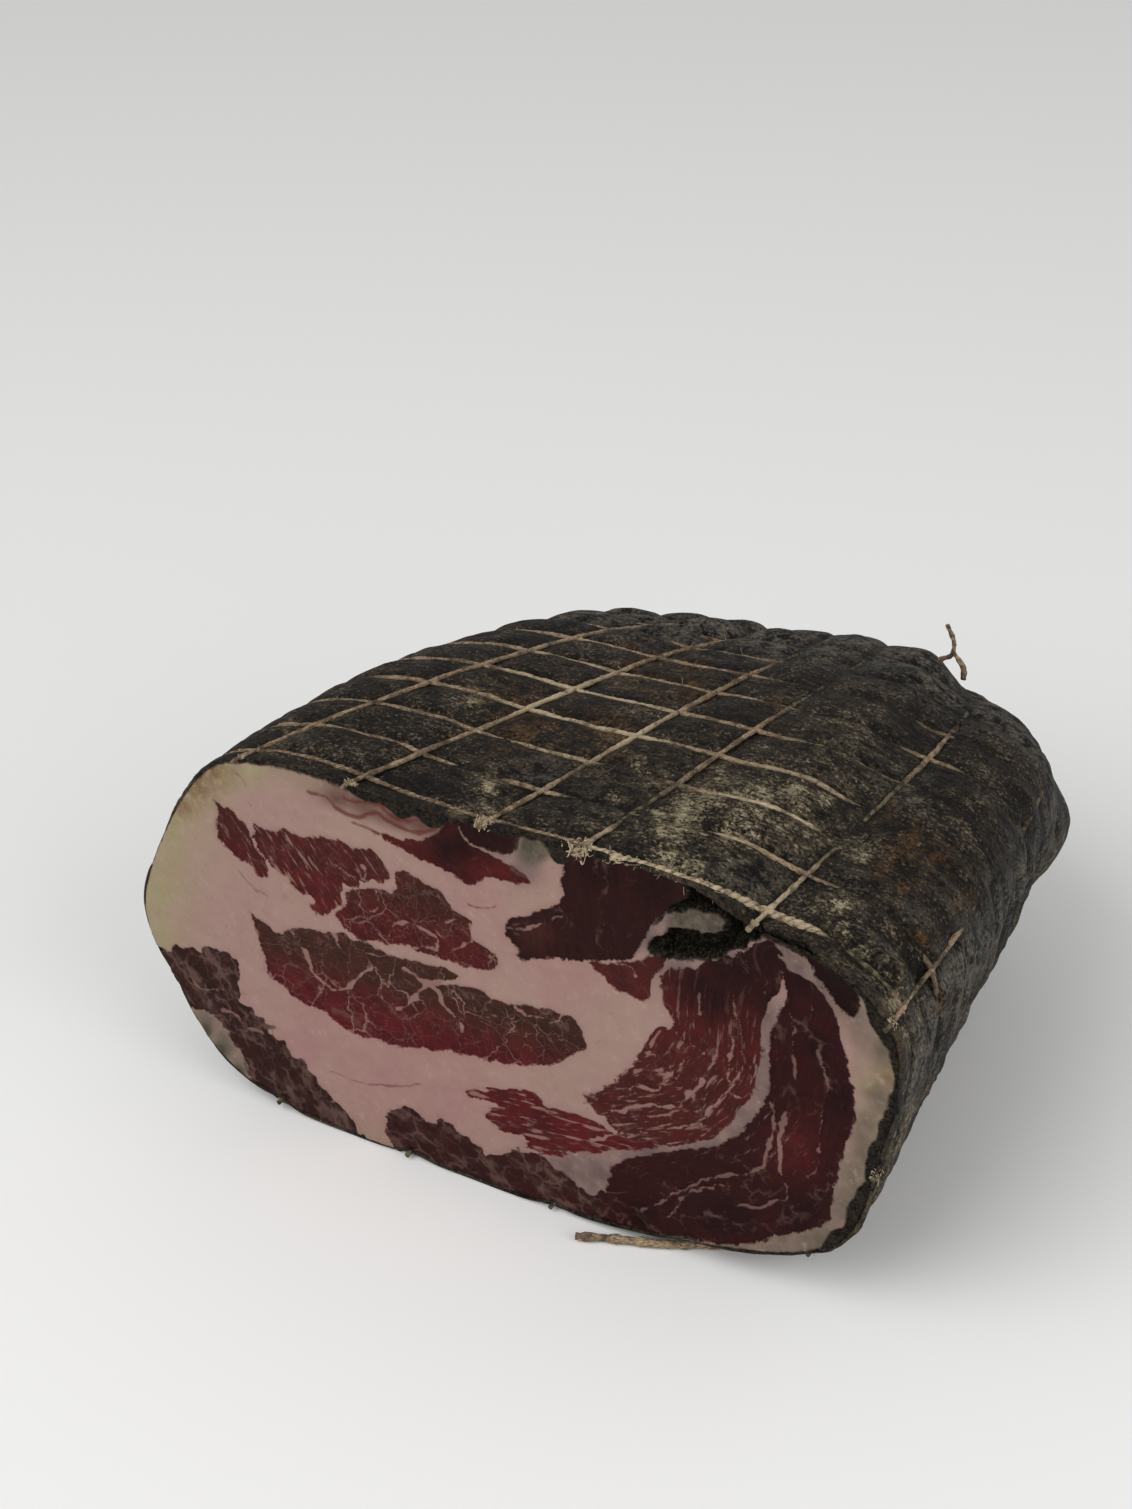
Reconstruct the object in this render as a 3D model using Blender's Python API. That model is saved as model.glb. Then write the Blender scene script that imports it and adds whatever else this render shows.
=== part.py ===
"""Half of a cured coppa, cut across and lying on its side in its twine netting.

While it is modelled, lengths are millimetres: x runs to the right along the cut face, y runs back
from the cut face into the meat, and z runs up from the table. The finished part stands on z = 0 with
the middle of its bounding box over the origin.
"""

import bmesh
import bpy
import numpy as np

MM = 0.001

# The cut face, seen from the front as (x, z). It starts at the right side and runs over the top.
CUT_WIDTH = 128.0
CUT_HEIGHT = 66.0
CUT_OUTLINE = (
    (64, 41), (64, 49), (60, 56), (52, 60), (43, 61.5), (33, 65.5), (17, 66), (0, 65), (-13, 64.5),
    (-25, 65), (-37, 64.5), (-47, 61), (-55, 51), (-62, 38), (-64, 29), (-61, 20), (-53, 7),
    (-42, 1), (-30, 0), (-8, 0), (12, 0.3), (33, 3.5), (49, 8.5), (56, 14), (61, 26),
)

# How the girth changes towards the tied end. The undercut is how far the lower right side recedes.
STATIONS = np.array((
    # back, right, left, top at right, top at left, bottom, undercut
    (0, 64, -64, 66, 66, 0, 0),
    (20, 63.5, -63.5, 66.5, 64.5, 0, 5),
    (40, 61.5, -61, 65.5, 62.5, 0, 8),
    (60, 58, -56, 62.5, 58.5, 0.5, 8),
    (76, 53, -49, 59.5, 55, 2, 7),
    (89, 44, -39, 55, 50, 6, 5),
    (98, 34.5, -28, 47.5, 43, 11, 3),
    (104, 25, -14, 38.5, 35, 16, 1),
    (107, 17, -3, 31, 30, 19, 0),
), float)
END_TIP = (7.0, 112.0, 24.5)
TIP_RINGS = ((107.0, 0.74), (109.2, 0.64), (111.2, 0.42))
UNDERCUT_BEND = 1.5
# Behind the cut edge the belly sags flat on the table: how far, over what length, and up to what
# share of the height.
BELLY_SAG = 3.0
BELLY_SAG_LENGTH = 30.0
BELLY_SHARE = 0.2

# The tied end swells out low on the right and falls in above it.
LUMPS = (
    # girth place, back, reach round, reach back, height
    (320, 84, 12, 8, 6.5),
    (20, 93, 14, 12, -3.5),
)

# The netting: where each lengthwise string leaves the cut edge, along the girth from the outline's
# start, and how far back each girth string lies.
STRING_PLACES = (11.8, 34.8, 61.9, 77.6, 100.3, 120.2, 150.3, 174.3, 200.9, 225.5, 250.9, 274, 294.9, 315.7)
FIRST_HOOP = 2.8
HOOP_PITCH = 9.6
EVEN_HOOPS = 7
END_HOOPS = (69.5, 79.0, 87.5, 95.0, 101.5, 106.0)
HOOP_WANDER = ((0, 0), (12, 1.5), (35, 2), (56, -1.9), (78, -0.8), (107, 1.5), (150, 0), (240, 0))
WANDER_END = (60.0, 95.0)
TWIST = 0.3
TWIST_LENGTH = 60.0

# The twine bites into the rind, which swells between the strings.
TWINE_RADIUS = 0.75
TWINE_SIDES_RESOLUTION = 0
TWINE_LIFT = 1.3
CROSSING_LIFT = 0.12
GROOVE = 1.4
END_GROOVE = 2.1
TIP_GROOVE = 0.9
DEEPER_GROOVE = (55.0, 85.0)
SHALLOWER_GROOVE = (93.0, 104.0)
BASE_GROOVE = 2.45
GROOVE_EDGE = 0.28
SHOULDER = 0.25
STRING_STUB = 1.6
STRAIGHT_ENOUGH = 0.06

# Loose twine: a tail on the table in front of the cut face, and a forked end at the tied end.
TAIL_PATH = (
    (33.0, 2.8, 3.85), (34.2, 3.6, 2.2), (33.4, 4.0, 0.95), (31.0, 3.0, 0.9), (27.5, 1.0, 0.9),
    (23.0, -0.7, 0.9), (18.5, -2.3, 0.9), (14.7, -4.0, 0.9),
)
FORK_PATHS = (
    ((27.2, 86.9, 52.6), (27.9, 87.0, 53.9), (29.6, 87.0, 55.0), (30.0, 87.0, 57.4), (28.8, 87.0, 60.2)),
    ((31.6, 87.2, 51.2), (31.6, 87.1, 53.3), (29.8, 87.1, 55.6)),
)
FORK_RADIUS = 0.6

# A cleft between two muscles opens into the cut face at its top right.
CLEFT_OUTLINE = (
    (23.5, 54.2), (29.5, 53.4), (36, 55.3), (42, 58), (49, 59), (50, 68), (42, 68), (40.5, 62.5),
    (36, 59.6), (29.5, 57),
)
CLEFT_DEPTH = 4.0

SLOPE_STEP = 0.3
RIND_CREASE = 0.7
TWINE_CREASE = 1.0
WELD = 0.01

RIND = ((0.032, 0.028, 0.022, 1), 0.8)
CUT_MEAT = ((0.2, 0.09, 0.08, 1), 0.4)
TWINE = ((0.19, 0.14, 0.08, 1), 0.9)


def closed_curve(points, steps=24):
    """A smooth closed curve through points, each span in equal steps."""
    here = np.array(points, float)
    before = np.roll(here, 1, 0)
    after = np.roll(here, -1, 0)
    later = np.roll(here, -2, 0)
    f = np.linspace(0, 1, steps, endpoint=False)[:, None, None]
    bend = 2 * before - 5 * here + 4 * after - later
    curl = 3 * here - before - 3 * after + later
    curve = 0.5 * (2 * here + (after - before) * f + bend * f**2 + curl * f**3)
    return curve.transpose(1, 0, 2).reshape(-1, 2)


CUT_CURVE = closed_curve(CUT_OUTLINE)
CUT_CURVE = np.vstack([CUT_CURVE, CUT_CURVE[:1]])
ALONG_GIRTH = np.r_[0, np.cumsum(np.linalg.norm(np.diff(CUT_CURVE, axis=0), axis=1))]
GIRTH = ALONG_GIRTH[-1]


def eased(value, knots, heights):
    """A smooth curve through (knots, heights), read at value."""
    slopes = np.gradient(heights, knots)
    i = np.clip(np.searchsorted(knots, value, side="right") - 1, 0, len(knots) - 2)
    width = knots[i + 1] - knots[i]
    f = (value - knots[i]) / width
    rise = f * f * (3 - 2 * f)
    start = f * (1 - f) ** 2 * width * slopes[i]
    end = f * f * (f - 1) * width * slopes[i + 1]
    return (1 - rise) * heights[i] + rise * heights[i + 1] + start + end


def ramp(value, start, end):
    """0 before start, 1 after end, and an eased rise between them."""
    f = np.clip((value - start) / (end - start), 0, 1)
    return f * f * (3 - 2 * f)


def skin(girth, back):
    """The outer form without its strings: the cut outline, carried back and fitted to the stations."""
    cut_x = np.interp(girth % GIRTH, ALONG_GIRTH, CUT_CURVE[:, 0])
    cut_z = np.interp(girth % GIRTH, ALONG_GIRTH, CUT_CURVE[:, 1])
    right, left, top_right, top_left, bottom, undercut = (
        eased(back, STATIONS[:, 0], column) for column in STATIONS[:, 1:].T
    )
    across = cut_x / CUT_WIDTH + 0.5
    up = cut_z / CUT_HEIGHT
    recess = undercut * np.clip(1 - up, 0, 1) ** UNDERCUT_BEND * np.clip(2 * across - 1, 0, 1)
    top = top_left + (top_right - top_left) * ramp(across, 0, 1)
    x = left + (right - left) * across - recess
    z = bottom + (top - bottom) * up
    sag = BELLY_SAG * ramp(back, 0, BELLY_SAG_LENGTH) * ramp(up, BELLY_SHARE, 0)
    z = np.maximum(z - sag, 0)
    return np.stack([x, back, z], -1)


def outward(girth, back):
    """The unit vectors that point out of the skin."""
    behind = np.minimum(back + SLOPE_STEP, STATIONS[-1, 0])
    before = np.maximum(back - SLOPE_STEP, 0)
    along = skin(girth, behind) - skin(girth, before)
    around = skin(girth + 3 * SLOPE_STEP, back) - skin(girth - 3 * SLOPE_STEP, back)
    out = np.cross(along, around)
    return out / np.linalg.norm(out, axis=-1, keepdims=True)


def lumps(girth, back):
    """How far the lumps of the tied end stand out, each a bell round its place."""
    total = 0
    for place_round, place_back, reach_round, reach_back, height in LUMPS:
        aside = (girth - place_round + GIRTH / 2) % GIRTH - GIRTH / 2
        bell = np.exp(-((aside / reach_round) ** 2) - ((back - place_back) / reach_back) ** 2)
        total = total + height * bell
    return total


def girth_places():
    """The columns: each lengthwise string, its groove's edge, the middle of the gap and the next edge."""
    strings = np.array(STRING_PLACES)
    gaps = np.diff(np.r_[strings, strings[0] + GIRTH])
    places = strings[:, None] + gaps[:, None] * np.array((0, GROOVE_EDGE, 0.5, 1 - GROOVE_EDGE))
    return places.reshape(-1)


def hoop_places():
    return np.r_[FIRST_HOOP + HOOP_PITCH * np.arange(EVEN_HOOPS), END_HOOPS]


COLUMNS = girth_places()
ON_STRING = np.arange(len(COLUMNS)) % 4 == 0
MIDDLE = np.arange(len(COLUMNS)) % 4 == 2
HOOPS = hoop_places()


def place(back):
    """Girth and back of every column where the netting has gone this far back, with its wander."""
    across = np.interp(COLUMNS % GIRTH, ALONG_GIRTH, CUT_CURVE[:, 0]) / CUT_WIDTH + 0.5
    girth = COLUMNS - TWIST * (1 - across) * TWIST_LENGTH * np.sin(min(back / TWIST_LENGTH, 1) * np.pi / 2)
    places, wander = np.array(HOOP_WANDER, float).T
    shift = np.interp(COLUMNS % GIRTH, np.r_[places, GIRTH], np.r_[wander, wander[0]])
    fade = 1 - ramp(back, *WANDER_END)
    near_cut = ramp(back, 0, FIRST_HOOP)
    return girth, back + shift * fade * near_cut


def ring(back, depth):
    """One ring of points, this deep under the swollen skin, and their outward directions."""
    girth, y = place(back)
    out = outward(girth, y)
    points = skin(girth, y) + out * (lumps(girth, y) - depth)[:, None]
    floor = np.where(depth >= groove_depth(back), BASE_GROOVE, 0)
    pressed = np.where(points[:, 2] < BASE_GROOVE * SHOULDER, 0, points[:, 2])
    points[:, 2] = np.maximum(pressed, floor)
    return points, out


def groove_depth(back):
    deeper = (END_GROOVE - GROOVE) * ramp(back, *DEEPER_GROOVE)
    shallower = (END_GROOVE - TIP_GROOVE) * ramp(back, *SHALLOWER_GROOVE)
    return GROOVE + deeper - shallower


def hoop_rings():
    """The rings that the girth strings press in, as deep all the way round and straight in mid gap."""
    rings = []
    for back in HOOPS:
        points, out = ring(back, np.full(len(COLUMNS), groove_depth(back)))
        middle = np.flatnonzero(MIDDLE)
        points[middle] = (points[middle - 1] + points[middle + 1]) / 2
        rings.append((points, out))
    return rings


def swollen_ring(back, before, after, share):
    """A ring between two hoops: it swells between the strings and is straight along them."""
    points, _ = ring(back, np.where(MIDDLE, 0, SHOULDER * groove_depth(back)))
    straight = before + (after - before) * share
    points[ON_STRING] = straight[ON_STRING]
    return points


def skin_rings():
    """Every ring of the body, from the cut edge to the tied tip."""
    hoops = [points for points, _ in hoop_rings()]
    edge, _ = ring(0.0, np.where(ON_STRING, GROOVE, 0))
    edge[:, 1] = 0
    rings = [edge, hoops[0]]
    for k in range(len(HOOPS) - 1):
        for share in (GROOVE_EDGE, 1 - GROOVE_EDGE):
            back = HOOPS[k] + (HOOPS[k + 1] - HOOPS[k]) * share
            rings.append(swollen_ring(back, hoops[k], hoops[k + 1], share))
        rings.append(hoops[k + 1])
    tip = np.array(END_TIP)
    for back, scale in TIP_RINGS:
        points = tip + (hoops[-1] - tip) * scale
        points[:, 1] = back
        rings.append(points)
    return rings


def material(name, look):
    colour, roughness = look
    made = bpy.data.materials.new(name)
    made.use_nodes = True
    shader = made.node_tree.nodes["Principled BSDF"]
    shader.inputs["Base Color"].default_value = colour
    shader.inputs["Roughness"].default_value = roughness
    shader.inputs["Metallic"].default_value = 0.0
    return made


def new_object(name, mesh, collection, parent):
    made = bpy.data.objects.new(name, mesh)
    collection.objects.link(made)
    made.parent = parent
    return made


def body_mesh():
    """Rings joined by faces, a flat cut face in front and a fan to the tip behind."""
    shape = bmesh.new()
    rings = [[shape.verts.new(point * MM) for point in points] for points in skin_rings()]
    tip = shape.verts.new(np.array(END_TIP) * MM)
    count = len(COLUMNS)
    for near, far in zip(rings, rings[1:]):
        for j in range(count):
            k = (j + 1) % count
            shape.faces.new((near[j], far[j], far[k], near[k]))
    for j in range(count):
        shape.faces.new((rings[-1][j], tip, rings[-1][(j + 1) % count]))
    cut_face = shape.faces.new(rings[0])
    cut_face.material_index = 1
    mesh = bpy.data.meshes.new("coppa_half")
    shape.to_mesh(mesh)
    shape.free()
    mesh.shade_smooth()
    mesh.set_sharp_from_angle(angle=RIND_CREASE)
    return mesh


def curve_mesh(name, curve):
    """The curve's solid as a mesh, its caps welded on."""
    holder = bpy.data.objects.new(name, curve)
    bpy.context.scene.collection.objects.link(holder)
    bpy.context.view_layer.update()
    graph = bpy.context.evaluated_depsgraph_get()
    mesh = bpy.data.meshes.new_from_object(holder.evaluated_get(graph))
    bpy.data.objects.remove(holder)
    bpy.data.curves.remove(curve)
    shape = bmesh.new()
    shape.from_mesh(mesh)
    bmesh.ops.remove_doubles(shape, verts=shape.verts, dist=WELD * MM)
    bmesh.ops.recalc_face_normals(shape, faces=shape.faces)
    shape.to_mesh(mesh)
    shape.free()
    return mesh


def strand_mesh(name, points, radius=TWINE_RADIUS, closed=False):
    curve = bpy.data.curves.new(name, "CURVE")
    curve.dimensions = "3D"
    curve.bevel_depth = radius * MM
    curve.bevel_resolution = TWINE_SIDES_RESOLUTION
    curve.use_fill_caps = not closed
    spline = curve.splines.new("POLY")
    spline.points.add(len(points) - 1)
    for point, (x, y, z) in zip(spline.points, points):
        point.co = (x * MM, y * MM, z * MM, 1)
    spline.use_cyclic_u = closed
    return curve_mesh(name, curve)


def twine_routes():
    """The netting's routes: (name, points, radius, closed) for each strand."""
    hoops = hoop_rings()
    routes = []
    for k, (points, out) in enumerate(hoops):
        routes.append((f"hoop_{k}", (points + out * TWINE_LIFT)[~MIDDLE], TWINE_RADIUS, True))
    first, out = ring(0.0, np.where(ON_STRING, GROOVE, 0))
    lift = TWINE_LIFT + CROSSING_LIFT
    for j in np.flatnonzero(ON_STRING):
        along = [points[j] + out_here[j] * lift for points, out_here in hoops]
        edge = first[j] + out[j] * lift
        stub = edge - np.array((0, STRING_STUB, 0))
        routes.append((f"string_{j // 4}", [stub, edge] + along, TWINE_RADIUS, False))
    routes.append(("tail", TAIL_PATH, TWINE_RADIUS, False))
    for k, path in enumerate(FORK_PATHS):
        routes.append((f"fork_{k}", path, FORK_RADIUS, False))
    return routes


def merge_flat_faces(mesh):
    """Takes out the slivers that the join leaves on faces that are all but flat."""
    shape = bmesh.new()
    shape.from_mesh(mesh)
    bmesh.ops.dissolve_limit(shape, angle_limit=STRAIGHT_ENOUGH, verts=shape.verts, edges=shape.edges)
    bmesh.ops.triangulate(shape, faces=shape.faces)
    shape.to_mesh(mesh)
    shape.free()


def netting(collection, parent):
    """All the strands joined into one solid."""
    strands = bpy.data.collections.new("strands")
    bpy.context.scene.collection.children.link(strands)
    meshes = [strand_mesh(*route[:2], radius=route[2], closed=route[3]) for route in twine_routes()]
    for mesh in meshes[1:]:
        new_object(mesh.name, mesh, strands, None)
    net = new_object("twine_netting", meshes[0], collection, None)
    union = net.modifiers.new("join", "BOOLEAN")
    union.operation = "UNION"
    union.operand_type = "COLLECTION"
    union.collection = strands
    union.solver = "MANIFOLD"
    bpy.context.view_layer.update()
    joined = bpy.data.meshes.new_from_object(net.evaluated_get(bpy.context.evaluated_depsgraph_get()))
    net.modifiers.remove(union)
    net.data = joined
    for strand in list(strands.objects):
        bpy.data.objects.remove(strand)
    bpy.data.collections.remove(strands)
    merge_flat_faces(joined)
    joined.materials.clear()
    joined.materials.append(material("hemp_twine", TWINE))
    joined.shade_smooth()
    joined.set_sharp_from_angle(angle=TWINE_CREASE)
    net.parent = parent
    return net


def cleft_cutter(collection, parent):
    """The cleft's outline, standing in the cut face and reaching this far into the meat."""
    curve = bpy.data.curves.new("cleft", "CURVE")
    curve.dimensions = "2D"
    curve.fill_mode = "BOTH"
    curve.extrude = CLEFT_DEPTH * MM
    spline = curve.splines.new("POLY")
    spline.points.add(len(CLEFT_OUTLINE) - 1)
    for point, (x, z) in zip(spline.points, CLEFT_OUTLINE):
        point.co = (x * MM, z * MM, 0, 1)
    spline.use_cyclic_u = True
    cutter = new_object("cleft_cutter", curve_mesh("cleft", curve), collection, parent)
    cutter.rotation_euler = (np.pi / 2, 0, 0)
    cutter.hide_render = True
    cutter.display_type = "WIRE"
    return cutter


def body(collection, cutters, parent):
    half = new_object("coppa_half", body_mesh(), collection, parent)
    half.data.materials.append(material("moulded_rind", RIND))
    half.data.materials.append(material("cut_meat", CUT_MEAT))
    cut = half.modifiers.new("cleft", "BOOLEAN")
    cut.operation = "DIFFERENCE"
    cut.object = cleft_cutter(cutters, parent)
    return half


def centre_on_origin(parent, *parts):
    """Moves the parent so that the middle of the parts' box is over the origin."""
    points = np.array([vertex.co for part in parts for vertex in part.data.vertices])
    middle = (points.min(0) + points.max(0)) / 2
    parent.location = (-middle[0], -middle[1], 0)


def main():
    for old in list(bpy.data.objects):
        bpy.data.objects.remove(old)
    parts = bpy.data.collections.new("coppa")
    cutters = bpy.data.collections.new("cutters")
    bpy.context.scene.collection.children.link(parts)
    bpy.context.scene.collection.children.link(cutters)
    origin = bpy.data.objects.new("coppa_origin", None)
    parts.objects.link(origin)
    half = body(parts, cutters, origin)
    net = netting(parts, origin)
    centre_on_origin(origin, half, net)


main()
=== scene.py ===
# %% [markdown]
# # A cured coppa, cut in half, in its string netting
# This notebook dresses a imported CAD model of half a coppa: pork neck that was salted, put in a casing,
# netted with hemp twine and hung until a dark mould covered it. Then it was cut across. The looks
# have three parts: the marbled cut face, the wrinkled mouldy rind, and the twine.
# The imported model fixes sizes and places, so every piece below is worked out in the same frame.

import bpy
import numpy as np
from mathutils import Matrix, Vector


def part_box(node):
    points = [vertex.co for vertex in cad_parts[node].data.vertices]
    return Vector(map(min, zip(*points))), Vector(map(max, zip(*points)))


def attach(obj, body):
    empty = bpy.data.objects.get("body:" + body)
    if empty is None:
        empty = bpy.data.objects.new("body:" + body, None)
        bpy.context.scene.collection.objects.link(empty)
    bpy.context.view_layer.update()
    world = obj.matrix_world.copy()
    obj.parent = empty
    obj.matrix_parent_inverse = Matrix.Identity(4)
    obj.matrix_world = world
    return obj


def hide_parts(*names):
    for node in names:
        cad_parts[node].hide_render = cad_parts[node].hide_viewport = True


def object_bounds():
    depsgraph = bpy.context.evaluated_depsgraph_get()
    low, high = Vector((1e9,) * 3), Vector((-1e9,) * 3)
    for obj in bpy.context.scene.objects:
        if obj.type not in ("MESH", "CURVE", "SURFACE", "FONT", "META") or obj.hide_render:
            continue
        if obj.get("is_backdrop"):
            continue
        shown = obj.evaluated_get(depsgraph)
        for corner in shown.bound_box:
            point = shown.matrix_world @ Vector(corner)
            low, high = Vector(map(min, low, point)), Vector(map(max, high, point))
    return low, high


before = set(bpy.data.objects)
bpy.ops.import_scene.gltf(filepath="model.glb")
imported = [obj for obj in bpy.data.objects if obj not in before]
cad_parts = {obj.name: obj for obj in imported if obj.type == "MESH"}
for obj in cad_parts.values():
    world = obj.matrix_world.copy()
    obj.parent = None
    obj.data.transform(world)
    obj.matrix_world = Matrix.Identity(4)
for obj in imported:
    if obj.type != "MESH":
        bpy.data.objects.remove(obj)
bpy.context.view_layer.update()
half_low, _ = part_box("coppa_half")

# %% [markdown]
# ## Working frame
# All shapes are worked out in millimetres with the cut face in the plane y = 0, x to the right along
# it, y going back into the meat and z up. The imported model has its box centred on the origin, so one
# shift takes a finished mesh there. The body's box gives it: its lowest y is the cut plane, and its
# lowest x is the left flank, 64.02 mm left of the middle line.

# %% From working millimetres to the model's metres
MM = 0.001
LEFT_FLANK_X = -64.02
SHIFT = np.array([half_low.x / MM - LEFT_FLANK_X, half_low.y / MM, 0.0])
print("shift in mm:", SHIFT.round(3))


def to_model(points):
    """Working millimetres to metres in the model's frame: add the shift, then scale."""
    return (np.asarray(points, float) + SHIFT) * MM


# %% [markdown]
# ## The camera
# The photo looks down on the cut face from the right. Its camera was found from the cut outline and
# the net's even spacing: 34 degrees to the right of straight on, 31 degrees up, tipped by 3.5 degrees,
# and 365 mm from the point it looks at. The same numbers also turn a pixel of the photo into a point
# on the cut face, which is how the muscles are placed further down.

# %% The camera as numbers
PHOTO_WIDTH, PHOTO_HEIGHT = 1132, 1509
AZIMUTH, ELEVATION, ROLL = np.radians((34.0, 31.0, -3.5))
DISTANCE = 364.7
LOOKS_AT = np.array([15.46, 0.0, 79.98])
FOCAL_PIXELS = 2800.0
SENSOR = 36.0
PIXEL = DISTANCE / FOCAL_PIXELS  # mm across a pixel at the middle of the view

towards_camera = np.array([
    np.sin(AZIMUTH) * np.cos(ELEVATION), -np.cos(AZIMUTH) * np.cos(ELEVATION), np.sin(ELEVATION),
])
level_right = np.array([np.cos(AZIMUTH), np.sin(AZIMUTH), 0.0])
level_up = np.cross(towards_camera, level_right)
camera_right = level_right * np.cos(ROLL) + level_up * np.sin(ROLL)
camera_up = level_up * np.cos(ROLL) - level_right * np.sin(ROLL)
camera_place = LOOKS_AT + DISTANCE * towards_camera

# %% The camera object
lens = bpy.data.cameras.new("photo_camera")
lens.sensor_width = SENSOR
lens.lens = FOCAL_PIXELS * SENSOR / PHOTO_HEIGHT
lens.clip_start = 0.01
camera = bpy.data.objects.new("photo_camera", lens)
turn = Matrix(np.column_stack([camera_right, camera_up, towards_camera]).tolist()).to_4x4()
camera.matrix_world = Matrix.Translation(Vector(to_model(camera_place))) @ turn
bpy.context.scene.collection.objects.link(camera)
bpy.context.scene.camera = camera
print("lens in mm:", round(lens.lens, 2))

# %% From the photo to the object and back


def sight_lines(pixels):
    """The direction from the camera through each pixel of the photo."""
    pixels = np.asarray(pixels, float)
    aside = (pixels[..., 0] - PHOTO_WIDTH / 2) / FOCAL_PIXELS
    above = (PHOTO_HEIGHT / 2 - pixels[..., 1]) / FOCAL_PIXELS
    return aside[..., None] * camera_right + above[..., None] * camera_up - towards_camera


def on_cut_face(pixels):
    """(x, z) in mm where the sight lines through these pixels meet the cut plane y = 0."""
    lines = sight_lines(pixels)
    reach = -camera_place[1] / lines[..., 1]
    points = camera_place + lines * reach[..., None]
    return points[..., [0, 2]]


def in_photo(points):
    """The pixel of the photo at which each point in working mm is seen."""
    from_camera = points - camera_place
    depth = -(from_camera @ towards_camera)
    x = PHOTO_WIDTH / 2 + FOCAL_PIXELS * (from_camera @ camera_right) / depth
    y = PHOTO_HEIGHT / 2 - FOCAL_PIXELS * (from_camera @ camera_up) / depth
    return np.stack([x, y], -1)


def bells(points, places, power=2):
    """How much each spot in turn covers a point. A spot is a pixel of the photo and a reach in mm, and
    covers e^-(d / reach)^power at d mm from the pixel's sight line."""
    seen = in_photo(points)
    for x, y, reach in places:
        away = np.linalg.norm(seen - (x, y), axis=-1) * PIXEL
        yield np.exp(-((away / reach) ** power))


def spots(points, places, power=2):
    """The most that any one of the spots covers a point."""
    return np.max(list(bells(points, places, power)), axis=0)


print("millimetres across a pixel:", round(PIXEL, 3))

# %% [markdown]
# ## Smooth steps and noise
# Natural surfaces need two small tools. An eased step goes from 0 to 1 without a corner. Value noise
# puts a random number on each corner of a lattice and eases between them; several lattices, each half
# as coarse and half as strong as the last, give the uneven look of meat, mould and rope. The seeds
# are fixed, so each run makes the same piece.

# %% Steps and noise


def ramp(value, start, end):
    """0 before start, 1 after end, and 3f^2 - 2f^3 between them, f being the share of the way."""
    f = np.clip((value - start) / (end - start), 0, 1)
    return f * f * (3 - 2 * f)


HASH_PRIMES = np.array([73856093, 19349663, 83492791])
NOISE_TABLE = 8192


def noise(points, grain, seed, octaves=1):
    """Value noise from -1 to 1: lattice numbers this many mm apart, eased between the lattice corners
    round each point, plus finer lattices of half the grain and half the strength."""
    points = np.asarray(points, float)
    total = np.zeros(points.shape[:-1])
    strength, strengths = 1.0, 0.0
    for octave in range(octaves):
        numbers = np.random.default_rng(seed + octave).uniform(-1, 1, NOISE_TABLE)
        scaled = points / grain
        cell = np.floor(scaled).astype(np.int64)
        f = scaled - cell
        f = f * f * (3 - 2 * f)
        for corner in np.ndindex(*(2,) * points.shape[-1]):
            key = (cell + corner) * HASH_PRIMES[: points.shape[-1]]
            weight = np.where(corner, f, 1 - f).prod(-1)
            total += strength * weight * numbers[np.bitwise_xor.reduce(key, axis=-1) % NOISE_TABLE]
        strengths += strength
        strength /= 2
        grain = grain / 2
    return total / strengths


# %% [markdown]
# ## The outer form
# The cut outline is a smooth closed curve through 25 points, 128 by 66 mm. Going back from the cut,
# it is fitted at each station to its own left, right, top and bottom, which narrows it to the tied
# end. A place on the skin is given by two numbers: how far round the outline it is, and how far back.

# %% The cut outline
CUT_WIDTH, CUT_HEIGHT = 128.0, 66.0
CUT_OUTLINE = (
    (64, 41), (64, 49), (60, 56), (52, 60), (43, 61.5), (33, 65.5), (17, 66), (0, 65), (-13, 64.5),
    (-25, 65), (-37, 64.5), (-47, 61), (-55, 51), (-62, 38), (-64, 29), (-61, 20), (-53, 7),
    (-42, 1), (-30, 0), (-8, 0), (12, 0.3), (33, 3.5), (49, 8.5), (56, 14), (61, 26),
)


def closed_curve(points, steps):
    """A closed Catmull-Rom curve: each span is the cubic through its two ends whose slopes there are
    half the step from one neighbour to the next."""
    here = np.array(points, float)
    before, after, later = np.roll(here, 1, 0), np.roll(here, -1, 0), np.roll(here, -2, 0)
    f = np.linspace(0, 1, steps, endpoint=False)[:, None, None]
    bend = 2 * before - 5 * here + 4 * after - later
    curl = 3 * here - before - 3 * after + later
    curve = 0.5 * (2 * here + (after - before) * f + bend * f**2 + curl * f**3)
    return curve.transpose(1, 0, 2).reshape(-1, here.shape[1])


CUT_CURVE = closed_curve(CUT_OUTLINE, 24)
CUT_CURVE = np.vstack([CUT_CURVE, CUT_CURVE[:1]])
ALONG_GIRTH = np.r_[0, np.cumsum(np.linalg.norm(np.diff(CUT_CURVE, axis=0), axis=1))]
GIRTH = ALONG_GIRTH[-1]
print("girth at the cut in mm:", round(GIRTH, 1))

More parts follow.
